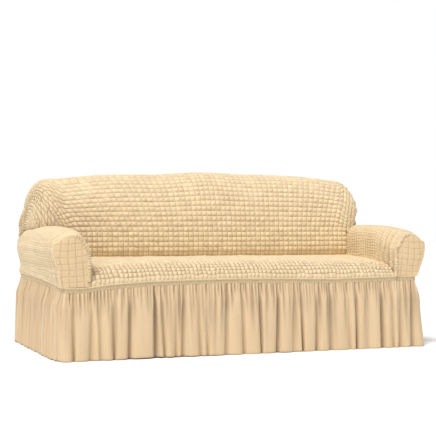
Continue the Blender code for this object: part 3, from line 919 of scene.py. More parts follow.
def end_turns(side, count=60):
    """Turns of the back's end for even steps of its rise and of the length round it."""
    turns = 0.5 - 0.5 * np.cos(np.linspace(0.0, math.pi, 500))
    table = []
    for rise in np.linspace(0.004, 1.0, count):
        share = END_START + (1.0 - END_START) * rise
        lengths = running_length(join(*back_end_point(side, turns, share)))
        table.append(np.interp(np.linspace(0.0, lengths[-1], count), lengths, turns))
    return np.array(table)


def table_value(table, first, second):
    """Value between a square table's entries, at shares of its two sides."""
    last = len(table) - 1
    i = np.clip((first * last).astype(int), 0, last - 1)
    j = np.clip((second * last).astype(int), 0, last - 1)
    s, t = first * last - i, second * last - j
    low = table[i, j] * (1 - t) + table[i, j + 1] * t
    high = table[i + 1, j] * (1 - t) + table[i + 1, j + 1] * t
    return low * (1 - s) + high * s


def end_row(side, share, turns, steps):
    """Points of a row round the back's end, from the end's inner edge to the rear seam."""
    rise = (share - END_START) / (1.0 - END_START)
    out = np.linspace(0.0, 1.0, steps) ** 1.5
    reach = rise + out * (1.0 - rise)
    round_it = out * (1.0 - rise * (1.0 - END_TOP)) / np.maximum(reach, 1e-9)
    turn = table_value(turns, reach, np.clip(round_it, 0.0, 1.0))
    row = join(*back_end_point(side, turn, END_START + (1.0 - END_START) * reach))
    gap = RISE_GAP + SHOULDER_LIFT * np.maximum(shoulder(side, row[:, 1]), 0.0) + FOOT_PRESS
    row[:, 2] -= gap * smooth(turn, 0.80, 1.0)
    return row


def column_lean(side, share):
    """How far out the columns at the back's ends stand at a share of its profile."""
    rise = min(max(share - END_START, 0.0) * back_profile.length, LEAN_RISE)
    lean = END_LEAN[side] * (LEAN_FOOT * rise + LEAN_GROWTH * rise ** 2)
    return lean * (1.0 - 0.35 * smooth(share, 0.60, 1.0))


def back_rows(columns, shares, middle_cells):
    """Grid over the inside back: its points, and their lengths past its last middle column.

    columns are cells from its middle, left to right, and shares are of the back's profile.
    Below the start of the ends the columns round them have no cloth, and are laid in a plane.
    """
    grid = np.zeros((len(shares), len(columns), 4))
    turns = {side: end_turns(side) for side in (LEFT, RIGHT)}
    for row, share in enumerate(shares):
        for side in (LEFT, RIGHT):
            run = join(*back_point(np.linspace(0.0, side * SEAT_EDGE, RUN_STEPS), share))
            if share >= END_START:
                run = np.vstack([run, end_row(side, share, turns[side], RUN_STEPS)[1:]])
            lengths = running_length(run)
            here = columns * side >= 0.0
            out = np.abs(columns[here])
            seat = SEAT_EDGE * np.minimum(out / middle_cells, 1.0)
            lean = column_lean(side, share)
            seat = seat + lean * (seat / SEAT_EDGE) ** 2
            reach = SEAT_EDGE + lean
            beyond = np.maximum(out - middle_cells, 0.0) / (out.max() - middle_cells)
            along = seat + beyond * max(lengths[-1] - reach, 0.0)
            for axis in range(3):
                grid[row, here, axis] = np.interp(along, lengths, run[:, axis])
            grid[row, here, 3] = along - reach
    low = np.flatnonzero(shares < END_START)
    ends = np.flatnonzero(np.abs(columns) > middle_cells)
    grid[np.ix_(low, ends)] = grid[low[-1] + 1, ends]
    grid[np.ix_(low, ends, [2])] -= (END_START - shares[low])[:, None, None] * back_profile.length
    return grid[..., :3], grid[..., 3]


def end_cells(columns, up, past, middle_cells, low_rows, cell):
    """Lattice places over the inside back: round its ends the rows bend down to the arms."""
    u, v = np.meshgrid(columns, up)
    ends = np.abs(columns) > middle_cells
    u[:, ends] = (np.sign(columns) * middle_cells + np.sign(columns) * past / END_CELL)[:, ends]
    bent = np.clip(past + END_BEND, 0.0, END_BEND)
    down = END_SLOPE * (bent ** 2 / (2 * END_BEND) + np.maximum(past, 0.0)) / cell
    free = np.maximum(smooth(v - low_rows, 0.0, 4.0), smooth(past, 0.0, 0.05))
    return np.stack([u, v + down * free], axis=-1)


class SLIPCOVER_OT_inside_back(bpy.types.Operator):
    """Build the puffed panel up the front of the back, over its top and round its ends"""

    bl_idname = "slipcover.inside_back"
    bl_label = "Inside Back"

    def execute(self, context):
        sizes = context.scene.slipcover_sizes
        half = int(SEAT_EDGE / sizes.cell) + 1
        rows = round(back_profile.length / sizes.cell)
        low_rows = round(END_START * rows)
        across, up, shares = self.lattice(half, rows, low_rows)
        points, past = back_rows(across, shares, half)
        cells = end_cells(across, up, past, half, low_rows, sizes.cell)
        normals = outward_normals(points, INSIDE_BACK)
        left = across < 0.0
        outer = np.abs(across)
        foot = smooth(outer, half - 1.0, half + 1.0)[None, :]
        foot = foot * np.exp(-np.maximum(up - low_rows, 0.0) / 2.5)[:, None]
        round_end = smooth(past, *ROUND_END)
        edges = smooth(up, 0.0, 1.0)[:, None] * smooth(rows - up, 0.0, 0.6)[:, None]
        edges = edges * smooth(across[-1] - outer, 0.0, 1.0)[None, :]
        lift = self.relief(sizes, cells, shares, foot) * (EDGE_RELIEF + (1.0 - EDGE_RELIEF) * edges)
        points = points + normals * lift[..., None]
        lines = 1.0 - BACK_LINES_FADE * smooth(shares, *BACK_FADE_RANGE)[:, None] + FOOT_LINES * foot
        lines = lines + np.where(left, END_LINES[LEFT], END_LINES[RIGHT]) * round_end
        # Painted shade in the creases at the foot beside the arms, and on the left end
        dark = FOOT_PAINTED_SHADE * foot ** 2 + END_PAINTED_SHADE * round_end * left
        between = np.abs(0.5 * (across[1:] + across[:-1])) < half
        keep = between[None, :] | (0.5 * (up[1:] + up[:-1]) > low_rows)[:, None]
        cloth = [knit("inside_back_knit", line_share=0.38)]
        name = "inside_back_cloth"
        piece = lay_cloth(name, points, cells, cloth, INSIDE_BACK, keep, lines=lines, dark=dark)
        finish_piece(piece, "inside_back")
        return {"FINISHED"}

    def lattice(self, half, rows, low_rows):
        """Columns in cells from the middle, and rows in cells and in shares of the profile."""
        beyond = half + np.arange(1, END_STEPS + 1) / len(CELL_POINTS)
        across = np.concatenate([-beyond[::-1], cell_lines(2 * half, CELL_POINTS) - half, beyond])
        low = cell_lines(low_rows, CELL_POINTS)
        high = cell_lines(rows - low_rows, CELL_POINTS)[1:] / (rows - low_rows)
        up = np.concatenate([low, low_rows + high * (rows - low_rows)])
        shares = np.concatenate([low / low_rows * END_START, END_START + high * (1.0 - END_START)])
        return across, up, shares

    def relief(self, sizes, cells, shares, foot):
        """Height of the raised cells and of the broad waves under them."""
        lift = sizes.puff * puffs(cells[..., 0], cells[..., 1], sizes.seed, sag=BACK_SAG)
        waves = BACK_WAVE * soft_noise(cells[..., 0] / 5.0, cells[..., 1] / 4.0, sizes.seed + 1)
        flat = 1.0 - BACK_FLATTER * smooth(shares, *BACK_FLAT_RANGE)[:, None]
        return (lift * (1.0 + FOOT_DEEPER * foot) + waves) * flat


def rear_outline():
    """Side and top edges of the outside back: left side up, top across, right side down."""
    edges = {}
    for side in (LEFT, RIGHT):
        meet = arm_roll.share_of(0, BACK_END[-1][0] + SHOULDER[side], until=ROLL_TOP_SHARE)
        arm = join(*arm_point(side, RIM_Y, 1.0 - (1.0 - meet) * np.linspace(0.0, 1.0, 9))[::2])
        turns = 1.0 - np.linspace(0.0, 1.0, 13)
        end = [join(*back_end_point(side, turn, 1.0)[::2]) for turn in turns]
        edges[side] = [tuple(spot) for spot in (*arm, *end)]
    top = [(x, float(back_point(x, 1.0)[2])) for x in np.linspace(-SEAT_EDGE, SEAT_EDGE, 25)]
    left = Curve(edges[LEFT][:-TOP_STEPS])
    right = Curve(edges[RIGHT][:-TOP_STEPS])
    top = edges[LEFT][-TOP_STEPS - 1 :] + top[1:-1] + edges[RIGHT][: -TOP_STEPS - 2 : -1]
    return left, Curve(top), right


class SLIPCOVER_OT_outside_back(bpy.types.Operator):
    """Build the flatter panel behind the back"""

    bl_idname = "slipcover.outside_back"
    bl_label = "Outside Back"

    def execute(self, context):
        sizes = context.scene.slipcover_sizes
        left, across, right = rear_outline()
        columns, rows = round(OUTSIDE_WIDTH / sizes.cell), round(OUTSIDE_HEIGHT / sizes.cell)
        cells = join(*np.meshgrid(cell_lines(columns, FLAT_POINTS), cell_lines(rows, FLAT_POINTS)))
        u, v = cells[..., 0], cells[..., 1]
        rim = np.minimum(np.minimum(u, columns - u), np.minimum(v, rows - v))
        lift = OUTSIDE_PUFF * sizes.puff * puffs(u, v, sizes.seed + 10)
        lift += OUTSIDE_WAVE * soft_noise(u / 8.0, v / 6.0, sizes.seed + 11)
        spot = self.spread(left, across, right, u / columns, v / rows)
        points = join(spot[..., 0], REAR_Y + lift * smooth(rim, 0.0, 1.0), spot[..., 1])
        cloth = [knit("outside_back_knit")]
        piece = lay_cloth("outside_back_cloth", points, cells, cloth, BEFORE_OUTSIDE_BACK)
        finish_piece(piece, "outside_back")
        return {"FINISHED"}

    def spread(self, left, top, right, u, v):
        """Places (x, z) spread evenly between the panel's four edges."""
        low_left, low_right = np.array(left.at(0.0)), np.array(right.at(0.0))
        top_left, top_right = np.array(left.at(1.0)), np.array(right.at(1.0))
        x = low_left[0] + (low_right[0] - low_left[0]) * u
        bottom = join(x, back_seam.value(x) + EDGE_GAP)
        top, left, right = join(*top.at(u)), join(*left.at(v)), join(*right.at(v))
        u, v = u[..., None], v[..., None]
        spot = (1 - v) * bottom + v * top
        spot += (1 - u) * left + u * right
        spot -= (1 - u) * ((1 - v) * low_left + v * top_left) + u * ((1 - v) * low_right + v * top_right)
        return spot


# The seat ---------------------------------------------------------------------------

# Pull folds at the seat's ends: start x and share, end x and share, height, half width
SEAT_FOLDS = (
    (-0.806, 0.72, -0.600, 0.48, 0.0040, 0.0060),
    (-0.806, 0.75, -0.640, 0.62, 0.0050, 0.0055),
    (-0.806, 0.78, -0.670, 0.73, 0.0050, 0.0050),
    (-0.802, 0.88, -0.700, 0.81, 0.0045, 0.0050),
    (-0.800, 0.93, -0.715, 0.89, 0.0045, 0.0045),
    (0.806, 0.74, 0.740, 0.50, 0.0045, 0.0060),
    (0.806, 0.80, 0.690, 0.64, 0.0055, 0.0060),
    (0.806, 0.86, 0.660, 0.77, 0.0060, 0.0060),
    (0.806, 0.92, 0.640, 0.89, 0.0055, 0.0055),
)
# Frill along the seat's ends: its pitch, depth and width
FRILL_PITCH = 0.022
FRILL_DEPTH = 0.0028
FRILL_WIDTH = 0.016
# Where the seat turns down at its front, share of the full puff and of the lines on its top,
# the cells' sag, and the heights of its broad waves and of its slanting ripples
SEAT_FRONT = (0.73, 0.88)
TOP_PUFF = 0.26
TOP_LINES = 0.14
SEAT_SAG = 0.25
SEAT_WAVE = 0.002
SEAT_RIPPLE = 0.0022
# How far its rows run up and down, as a share of its profile
SEAT_BOW = 0.004


def fold_ridges(x, along, folds, length):
    """Height of soft ridges laid from one place to another, tapering at both ends."""
    height = np.zeros(np.broadcast(x, along).shape)
    for x0, s0, x1, s1, rise, width in folds:
        run = np.array([x1 - x0, (s1 - s0) * length])
        size = np.hypot(*run)
        dx, dy = x - x0, (along - s0) * length
        on = (dx * run[0] + dy * run[1]) / size ** 2
        off = (dx * run[1] - dy * run[0]) / size
        ends = smooth(on, -0.25, 0.35) * (1.0 - smooth(on, 0.55, 1.2))
        ridge = np.exp(-((off / width) ** 2))
        trough = np.exp(-(((off - 1.9 * width) / width) ** 2))
        height += rise * ends * (ridge - 0.35 * trough)
    return height


class SLIPCOVER_OT_seat(bpy.types.Operator):
    """Build the puffed panel over the seat and down its rounded front"""

    bl_idname = "slipcover.seat"
    bl_label = "Seat"

    def execute(self, context):
        sizes = context.scene.slipcover_sizes
        columns = round(2 * SEAT_EDGE / sizes.seat_cell)
        rows = round(seat_profile.length / sizes.seat_cell)
        i, j = np.meshgrid(cell_lines(columns, CELL_POINTS), cell_lines(rows, CELL_POINTS))
        u, v = i / columns, j / rows
        bow = SEAT_BOW * soft_noise(u * 9.0, v * 3.0, sizes.seed + 21)
        bow = bow * smooth(v, 0.0, 0.1) * smooth(1 - v, 0.0, 0.1)
        x = -SEAT_EDGE + 2 * SEAT_EDGE * u
        points = join(*seat_point(x, np.clip(v + bow, 0.0, 1.0)))
        normals = outward_normals(points, UNDER_SEAT)
        ends = np.minimum(u, 1 - u) * columns
        front = smooth(v, *SEAT_FRONT)
        folds = self.folds(x, v, ends * sizes.seat_cell)
        u_cells = i + 0.30 * soft_noise(i / 2.2, j / 1.5, sizes.seed + 23)
        v_cells = j + 0.22 * soft_noise(i / 1.8, j / 3.0, sizes.seed + 24)
        lift = sizes.puff * (TOP_PUFF + (1.0 - TOP_PUFF) * front)
        lift = lift * puffs(u_cells, v_cells, sizes.seed + 20, 2.4, SEAT_SAG)
        waves = SEAT_WAVE * soft_noise(i / 4.0, j / 3.0, sizes.seed + 22)
        ripples = soft_noise(i / 1.9 - 0.5 * j, 2.1 * j, sizes.seed + 25)
        waves = waves + SEAT_RIPPLE * (1.0 - 0.3 * front) * ripples
        rim = smooth(v, 0.0, 0.12) * smooth(1 - v, 0.0, 0.03) * smooth(ends, 0.0, 0.3)
        points = points + normals * ((lift + folds + waves) * rim)[..., None]
        lines = (TOP_LINES + (1.0 - TOP_LINES) * front) * (1.0 - smooth(v, 0.965, 0.985))
        # Painted shade: darker in the folds' troughs, and a painted shadow on the lower corner of each
        # cell down the front
        painted_shadow_corner = u_cells % 1.0 + v_cells % 1.0 - 1.0
        dark = 100.0 * np.clip(-folds, 0.0, 0.003) + 0.60 * front * smooth(painted_shadow_corner, 0.10, 0.8)
        cells = join(u_cells, v_cells)
        cloth = [knit("seat_knit", line_start=0.62, line_share=0.85, crinkle=(1.6, 3.0), depth=0.0030)]
        piece = lay_cloth("seat_cloth", points, cells, cloth, UNDER_SEAT, lines=lines, dark=dark)
        finish_piece(piece, "seat")
        return {"FINISHED"}

    def folds(self, x, share, from_end):
        """Height of the pull folds, and of the frill along the seat's ends."""
        at_end = np.exp(-from_end / FRILL_WIDTH) * smooth(share, 0.45, 0.65)
        frill = np.sin(2 * math.pi * share * seat_profile.length / FRILL_PITCH)
        return fold_ridges(x, share, SEAT_FOLDS, seat_profile.length) + FRILL_DEPTH * at_end * frill


# The arms ---------------------------------------------------------------------------

ROLL_START_Z = ARM_ROLL[0][1]
# An arm's wrap: its front edge, the height it is laid out from, and the depth past which the
# back covers it below its roll, so that it has no cloth there
WRAP_START_Y = -0.4875
WRAP_FOOT_Z = 0.350
WRAP_COVERED_Y = 0.080
# Fall of its rows to the front, in rows, and where round the roll its top is stretched smooth
ARM_SLANT = 1.5
CREST_AT = 0.135
CREST_WIDTH = 0.085
# Range round the roll over which its cells give way to rows alone
RIBBED = (0.16, 0.26)
# How far its rows are drawn apart, how much its crest fades them and how strong its lines are
ROW_STRETCH = {LEFT: 1.0, RIGHT: 1.25}
CREST_FADE = {LEFT: 0.85, RIGHT: 0.30}
WRAP_LINES = {LEFT: 0.40, RIGHT: 0.60}
# Pleats beside the front seam: pitch, reach from the seam, depth and how far they wander
PLEAT_PITCH = 0.048
PLEAT_REACH = 0.16
PLEAT_DEPTH = {LEFT: 0.0090, RIGHT: 0.0130}
PLEAT_SWAY = 0.35
# Upright creases low down on both of its sides: width and depth
CREASE_WIDTH = 0.020
CREASE_DEPTH = 0.0048
# Ruffled edge that laps onto the arm's front: its width inside and outside the roll, its
# section from the inner line (share of the width, height above the front's rim), and the
# depth of its puckers
RUFFLE_INNER = 0.019
RUFFLE_OUTER = 0.006
RUFFLE_SECTION = (
    (1.00, -0.0010),
    (0.97, 0.0045),
    (0.80, 0.0075),
    (0.50, 0.0085),
    (0.22, 0.0065),
    (0.04, 0.0030),
    (-0.02, -0.0005),
)
RUFFLE_DEPTH = 0.0036
# Its places across the wrap's cells, and how strong the knit's lines are on it
RUFFLE_CELLS = (-0.7, -0.05)
RUFFLE_LINES = 0.4
# The wraps' knit: see knit_material
WRAP_LOOKS = {
    "line_start": 0.58,
    "crinkle": (0.9, 1.1),
    "depth": 0.0007,
    "sheen": 0.10,
    "uneven": 0.3,
}
# An arm front: heights of the points on its straight inner edge, and its points each way
FRONT_INNER_Z = (0.42, 0.49)
FRONT_POINTS = (65, 97)
# Its check: the height it is laid out from, how far its lines bow, in metres, and wander, in
# checks, and the height of its puffs and waves
CHECK_FOOT_Z = 0.345
CHECK_BOW = (0.012, 0.010)
CHECK_WANDER = (0.16, 0.14)
CHECK_PUFF = 0.0014
CHECK_WAVE = 0.0015


def arm_grid(side, y_places, row_step):
    """Points of an arm's wrap, with their places round it in metres, below its roll negative."""
    wall = int(math.ceil((ROLL_START_Z - WRAP_FOOT_Z) / row_step))
    below = -cell_lines(wall, FLAT_POINTS)[::-1] * row_step
    over = int(round(arm_roll.length / row_step))
    above = cell_lines(over, FLAT_POINTS)[1:] / over
    y, _ = np.meshgrid(y_places, below)
    z_top = arm_point(side, y, 0.0)[2]
    z = np.maximum(z_top + below[:, None], seat_height_at_arm(y) - SEAT_OVERLAP)
    low = join(side * ARM_INNER, y, z)
    y, share = np.meshgrid(y_places, above)
    reach = back_end_x(y) + shoulder(side, y) - END_OVERLAP - ARM_INNER
    reach = reach * smooth(y, *END_COVERED_Y)
    start = arm_roll.share_of(0, ARM_INNER + reach, until=ROLL_TOP_SHARE)
    high = join(*arm_point(side, y, np.maximum(share, start)))
    round_it = np.concatenate([below, above * arm_roll.length])
    return np.concatenate([low, high]), round_it


class SLIPCOVER_OT_arm_wraps(bpy.types.Operator):
    """Build the two panels up the inside of an arm, over its roll and down outside"""

    bl_idname = "slipcover.arm_wraps"
    bl_label = "Arm Wraps"

    def execute(self, context):
        for side, word in ((LEFT, "left"), (RIGHT, "right")):
            self.wrap(context.scene.slipcover_sizes, side, word)
        return {"FINISHED"}

    def wrap(self, sizes, side, word):
        """One arm's wrap, with the ruffled edge round its front."""
        count = round((RIM_Y - WRAP_START_Y) / sizes.arm_cell)
        along = cell_lines(count, FLAT_POINTS)
        y_places = WRAP_START_Y + (RIM_Y - WRAP_START_Y) * along / count
        row = sizes.arm_row * ROW_STRETCH[side]
        points, round_it = arm_grid(side, y_places, row)
        normals = outward_normals(points, INSIDE_ARM[side])
        u, v = np.meshgrid(along, round_it / row)
        v = v - ARM_SLANT * (1.0 - u / count) + 0.35 * soft_noise(u / 2.6, v / 4.0, sizes.seed + 33)
        rim = smooth(count - u, 0.0, 0.5) * smooth(u, 0.0, 0.5)
        back = u * sizes.arm_cell
        u = u + (0.5 - u) * smooth(round_it[:, None], *RIBBED)
        relief, lines, dark = self.relief(sizes, side, u, v, back, round_it[:, None])
        points = points + normals * (relief * rim)[..., None]
        edge, edge_painted_shade = self.ruffle(points[:, 0], normals[:, 0], round_it, sizes)
        width = len(RUFFLE_SECTION)
        columns = [0] * width + list(range(len(along)))
        u, v, lines = u[:, columns], v[:, columns], lines[:, columns]
        u[:, :width] = np.linspace(*RUFFLE_CELLS, width)
        lines[:, :width] = RUFFLE_LINES
        points = np.concatenate([edge, points], axis=1)
        dark = np.concatenate([edge_painted_shade, dark], axis=1)
        behind = 0.5 * (y_places[1:] + y_places[:-1]) > WRAP_COVERED_Y
        behind = np.concatenate([np.zeros(width, dtype=bool), behind])
        below = 0.5 * (round_it[1:] + round_it[:-1]) < 0.0
        keep = ~(behind[None, :] & below[:, None])
        cloth = [knit(f"arm_wrap_{word}_knit", line_share=WRAP_LINES[side], **WRAP_LOOKS)]
        name = f"arm_wrap_{word}_cloth"
        cells = join(u, v)
        piece = lay_cloth(name, points, cells, cloth, INSIDE_ARM[side], keep, lines=lines, dark=dark)
        finish_piece(piece, f"arm_wrap_{word}")

    def relief(self, sizes, side, u, v, back, round_it):
        """Height of the cells, creases and pleats, how strong the lines are, and the painted shade in its
        pleats and creases.
        """
        crest = np.exp(-np.abs((round_it - CREST_AT) / CREST_WIDTH) ** 3)
        lift = sizes.arm_puff * puffs(u, v, sizes.seed + 30 + side, 2.2, 0.0, 0.45, 1.0)
        lift = lift * (1.0 - 0.8 * crest)
        sway = PLEAT_SWAY * soft_noise(round_it / 0.06, back / 0.05, sizes.seed + 35)
        beside = np.exp(-((back / PLEAT_REACH) ** 2)) * (1.0 - 0.7 * crest) * smooth(back, 0.0, 0.02)
        wave = np.sin(2 * math.pi * (back / PLEAT_PITCH + sway))
        pleats = -PLEAT_DEPTH[side] * beside * np.maximum(wave, -0.4) ** 2
        ragged = smooth(round_it, 0.40, 0.56) + 0.5 * smooth(-round_it, 0.03, 0.12)
        creases = CREASE_DEPTH * soft_noise(back / CREASE_WIDTH, v / 1.4, sizes.seed + 34) * ragged
        lines = (1.0 - CREST_FADE[side] * crest) * (1.0 - 0.6 * beside)
        # Painted shade in the hollows of the pleats and of the creases
        dark = 0.90 * beside * np.maximum(wave, 0.0) ** 1.5 + 45.0 * np.maximum(-creases, 0.0)
        return lift + creases + pleats, lines, dark

    def ruffle(self, edge, normals, round_it, sizes):
        """Columns of points of the wrap's ruffled front edge, and the painted shade in its puckers."""
        inward = -normals * np.array([1.0, 0.0, 1.0])
        inward /= np.linalg.norm(inward, axis=1, keepdims=True)
        width = RUFFLE_INNER + (RUFFLE_OUTER - RUFFLE_INNER) * smooth(round_it, 0.08, 0.24)
        full = 0.25 + 0.75 * (width - RUFFLE_OUTER) / (RUFFLE_INNER - RUFFLE_OUTER)
        shift = 0.5 * soft_noise(round_it / 0.03, 0 * round_it, sizes.seed + 36)
        columns, dark = [], []
        for k, (share, height) in enumerate(RUFFLE_SECTION):
            pucker = np.sin(2 * math.pi * (round_it / sizes.arm_row + shift + 0.35 * share))
            free = full * math.sin(math.pi * (k + 0.6) / len(RUFFLE_SECTION))
            spot = edge + inward * (width * share)[:, None]
            spot[:, 1] = FRONT_Y - height * full + RUFFLE_DEPTH * pucker * free
            columns.append(spot)
            # Painted shade in the hollows of the puckers
            dark.append(0.60 * full * np.maximum(pucker, 0.0) * (0.4 + 0.6 * share))
        return np.stack(columns, axis=1), np.stack(dark, axis=1)


class SLIPCOVER_OT_arm_fronts(bpy.types.Operator):
    """Build the two flat checked panels that close the fronts of the arms"""

    bl_idname = "slipcover.arm_fronts"
    bl_label = "Arm Fronts"

    def execute(self, context):
        for side, word in ((LEFT, "left"), (RIGHT, "right")):
            self.front(context.scene, side, word)
        return {"FINISHED"}

    def front(self, scene, side, word):
        """One arm's front, domed a little, with the check's lines sunk into it."""
        sizes, colours = scene.slipcover_sizes, scene.slipcover_colours
        inner, outer = self.edges(side)
        across, up = np.meshgrid(*(np.linspace(0.0, 1.0, count) for count in FRONT_POINTS))
        spot = join(*inner.at(up)) * (1.0 - across[..., None]) + join(*outer.at(up)) * across[..., None]
        x, z = spot[..., 0], spot[..., 1]
        arch = np.sin(across * math.pi)
        dome = arch * smooth(up, 0.0, 0.4) * smooth(1.0 - up, 0.0, 0.3)
        out = np.abs(x) - ARM_INNER
        u = (out - CHECK_BOW[0] * np.sin((z - 0.36) * 11.0)) / sizes.check_width
        v = (z - CHECK_FOOT_Z + CHECK_BOW[1] * np.sin(out * 12.0)) / sizes.check_height
        u = u + CHECK_WANDER[0] * soft_noise(v / 1.6, u / 2.0, sizes.seed + 44)
        v = v + CHECK_WANDER[1] * soft_noise(u / 1.8, v / 2.0, sizes.seed + 45)
        lift = CHECK_PUFF * puffs(u, v, sizes.seed + 40 + side, 4.0)
        lift += CHECK_WAVE * soft_noise(u / 2.0, v / 2.0, sizes.seed + 42)
        rim = smooth(arch, 0.0, 0.35) * smooth(1.0 - up, 0.0, 0.1)
        points = join(x, FRONT_Y - ARM_FRONT_DOME * dome - lift * rim, z)
        cloth = check_material(f"arm_front_{word}_check", tuple(colours.check), tuple(colours.check_line))
        piece = lay_cloth(f"arm_front_{word}_cloth", points, join(u, v), [cloth], INSIDE_ARM[side])
        finish_piece(piece, f"arm_front_{word}")

    def edges(self, side):
        """Inner and outer edge of an arm's front, both from the band up to the roll's crest."""
        x = side * ARM_INNER
        inner = [(x, float(front_seam.value(x)) + EDGE_GAP)]
        inner += [(x, z) for z in FRONT_INNER_Z]
        inner += self.roll(side, np.linspace(0.0, ROLL_CREST, 7))
        return Curve(inner), Curve(self.roll(side, np.linspace(1.0, ROLL_CREST, 13)))

    def roll(self, side, shares):
        """Places (x, z) on the roll's front edge."""
        return join(*arm_point(side, FRONT_Y + 0 * shares, shares)[::2]).tolist()


# The elastic band -------------------------------------------------------------------

# How far its face starts under the girth line, points across each of its ribs, half depth of
# the ribs, their unevenness and how far it is drawn in between its edges
BAND_START = 0.004
RIB_POINTS = 4
RIB_DEPTH = 0.0011
RIB_UNEVEN = 0.0008
BAND_SUNK = 0.0010
# Stitch pitch of its rolled seam, how far the seam's middle stands out and hangs, and how
# strong the knit's lines are on it
STITCH_PITCH = 0.011
ROLL_OUT = 0.0006
SEAM_LINES = 0.3


class SLIPCOVER_OT_band(bpy.types.Operator):
    """Build the four lengths of the elastic band, each with the rolled seam on its top"""

    bl_idname = "slipcover.band"
    bl_label = "Elastic Band"

    def execute(self, context):
        sizes, colours = context.scene.slipcover_sizes, context.scene.slipcover_colours
        for (start, end), (word, _, _) in zip(girth_lengths(GIRTH_TURN / 2), SKIRT_LENGTHS):
            shades = tuple(colours.elastic), tuple(colours.groove_and_shade)
            elastic = elastic_material(f"band_{word}_elastic", *shades)
            seam = knit(f"band_{word}_seam", crinkle=(6.0, 6.0))
            self.length(sizes, start + SEAM_GAP / 2, end - SEAM_GAP / 2, word, [elastic, seam])
        return {"FINISHED"}

    def length(self, sizes, start, end, word, materials):
        """One length, shirred into fine ribs, with a rolled seam above it."""
        along = np.linspace(start, end, RIB_POINTS * round((end - start) / sizes.rib) + 1)
        x, y, out_x, out_y = (part[None, :] for part in girth_place(along))
        top = girth_height(x, y, out_x, out_y)
        rib = along[None, :] / sizes.rib
        drops = np.linspace(1.0, 0.0, 7)
        drop = drops[:, None]
        wobble = 0.3 * soft_noise(rib / 3.0, 0 * rib, sizes.seed + 50)
        pinch = np.sin(drop * math.pi) ** 0.5
        out = RIB_DEPTH * np.sin(2 * math.pi * (rib + wobble)) * pinch
        out = out + RIB_UNEVEN * soft_noise(rib / 1.7, drop * 5.0, sizes.seed + 51) - BAND_SUNK * pinch
        z = top - BAND_START - (BAND_HEIGHT - BAND_START) * drop
        face = join(x + out * out_x, y + out * out_y, z)
        turns = np.linspace(-0.35 * math.pi, 0.95 * math.pi, 8)
        turn = turns[:, None]
        stitch = np.sin(2 * math.pi * along[None, :] / STITCH_PITCH)
        radius = sizes.seam_roll * (0.92 + 0.10 * stitch)
        radius = radius * (1.0 + 0.12 * soft_noise(rib / 4.0, 0 * rib, sizes.seed + 52))
        out = ROLL_OUT + radius * np.cos(turn)
        roll = join(x + out * out_x, y + out * out_y, top - ROLL_OUT + radius * np.sin(turn))
        points = np.concatenate([face, roll])
        v = np.concatenate([np.linspace(0.0, 4.0, len(drops)), 4.0 + np.linspace(0.1, 1.0, len(turns))])
        cells = join(*np.meshgrid(along / sizes.rib, v))
        second = np.zeros((len(points) - 1, len(along) - 1), dtype=bool)
        second[len(drops) - 1 :] = True
        name = f"band_{word}_cloth"
        piece = lay_cloth(name, points, cells, materials, BEHIND_BAND, second=second, lines=SEAM_LINES)
        finish_piece(piece, f"band_{word}")


# The skirt --------------------------------------------------------------------------

# Step of its columns, and the heights of its rows as shares of its drop
COLUMN_STEP = 0.0026
DROPS = np.concatenate([np.linspace(0.0, 0.3, 22), np.linspace(0.3, 1.0, 24)[1:]])
# Fine gathers: half width at the band, growth down to half the drop, and sideways drift
GATHER_WIDTH = 0.0036
GATHER_GROWTH = 0.0070
GATHER_DRIFT = 0.012
# Depth of the slow waves in its cloth
SKIRT_WAVE = 0.0025
# Painted shade: how much it darkens its gathers and its folds, and how much more towards the
# hem and on the left side
GATHER_PAINTED_SHADE = 0.95
FOLD_PAINTED_SHADE = 0.68
HEM_PAINTED_SHADE = 0.12
LEFT_PAINTED_SHADE = 0.12
# The hem's fold, turned under: steps (in, up), the last as high as the hem
HEM_FOLD = ((0.0008, -0.0004), (0.0018, 0.0), (0.0024, 0.0012))
HEM_IN = 0.0024


def fold_troughs(start, end, pitch, phase):
    """Place and depth of each trough along a length of skirt."""
    if pitch == 0.0:
        return list(FRONT_FOLDS)
    widths = [
        1.0 + 0.26 * math.sin(2.1 * k + phase) + 0.18 * math.sin(5.3 * k)
        for k in range(round((end - start) / pitch))
    ]
    scale = (end - start) / sum(widths)
    troughs = []
    along = start
    for k, width in enumerate(widths[:-1]):
        along += width * scale
        troughs.append((along, 1.0 + 0.28 * math.sin(3.7 * k + phase) + 0.16 * math.sin(1.3 * k)))
    return troughs


def fold_columns(start, end, pitch, phase):
    """Places along a length of skirt, each with its wave and lean: troughs, ridges between.

    The joined ends lie flat, so that two lengths meet face to face.
    """
    troughs = fold_troughs(start, end, pitch, phase)
    last = start + SKIRT_JOIN
    columns = [(start, 0.0, 0.0), (last, 0.0, 0.0)]
    for k, (along, depth) in enumerate(troughs + [(end - SKIRT_JOIN, 0.0)]):
        gap = along - last
        ridge = min(1.0, gap / FULL_RIDGE)
        side = min(0.3 * gap, TROUGH_SIDE)
        lean = math.sin(1.9 * k + 2.0 * phase) if 0 < k < len(troughs) else 0.0
        columns.append((last + side, RIDGE_SIDE * ridge, lean))
        columns.append((last + gap / 2, ridge, lean))
        columns.append((along - side, RIDGE_SIDE * ridge, lean))
        columns.append((along, -depth, lean))
        last = along
    columns.append((end, 0.0, 0.0))
    return columns


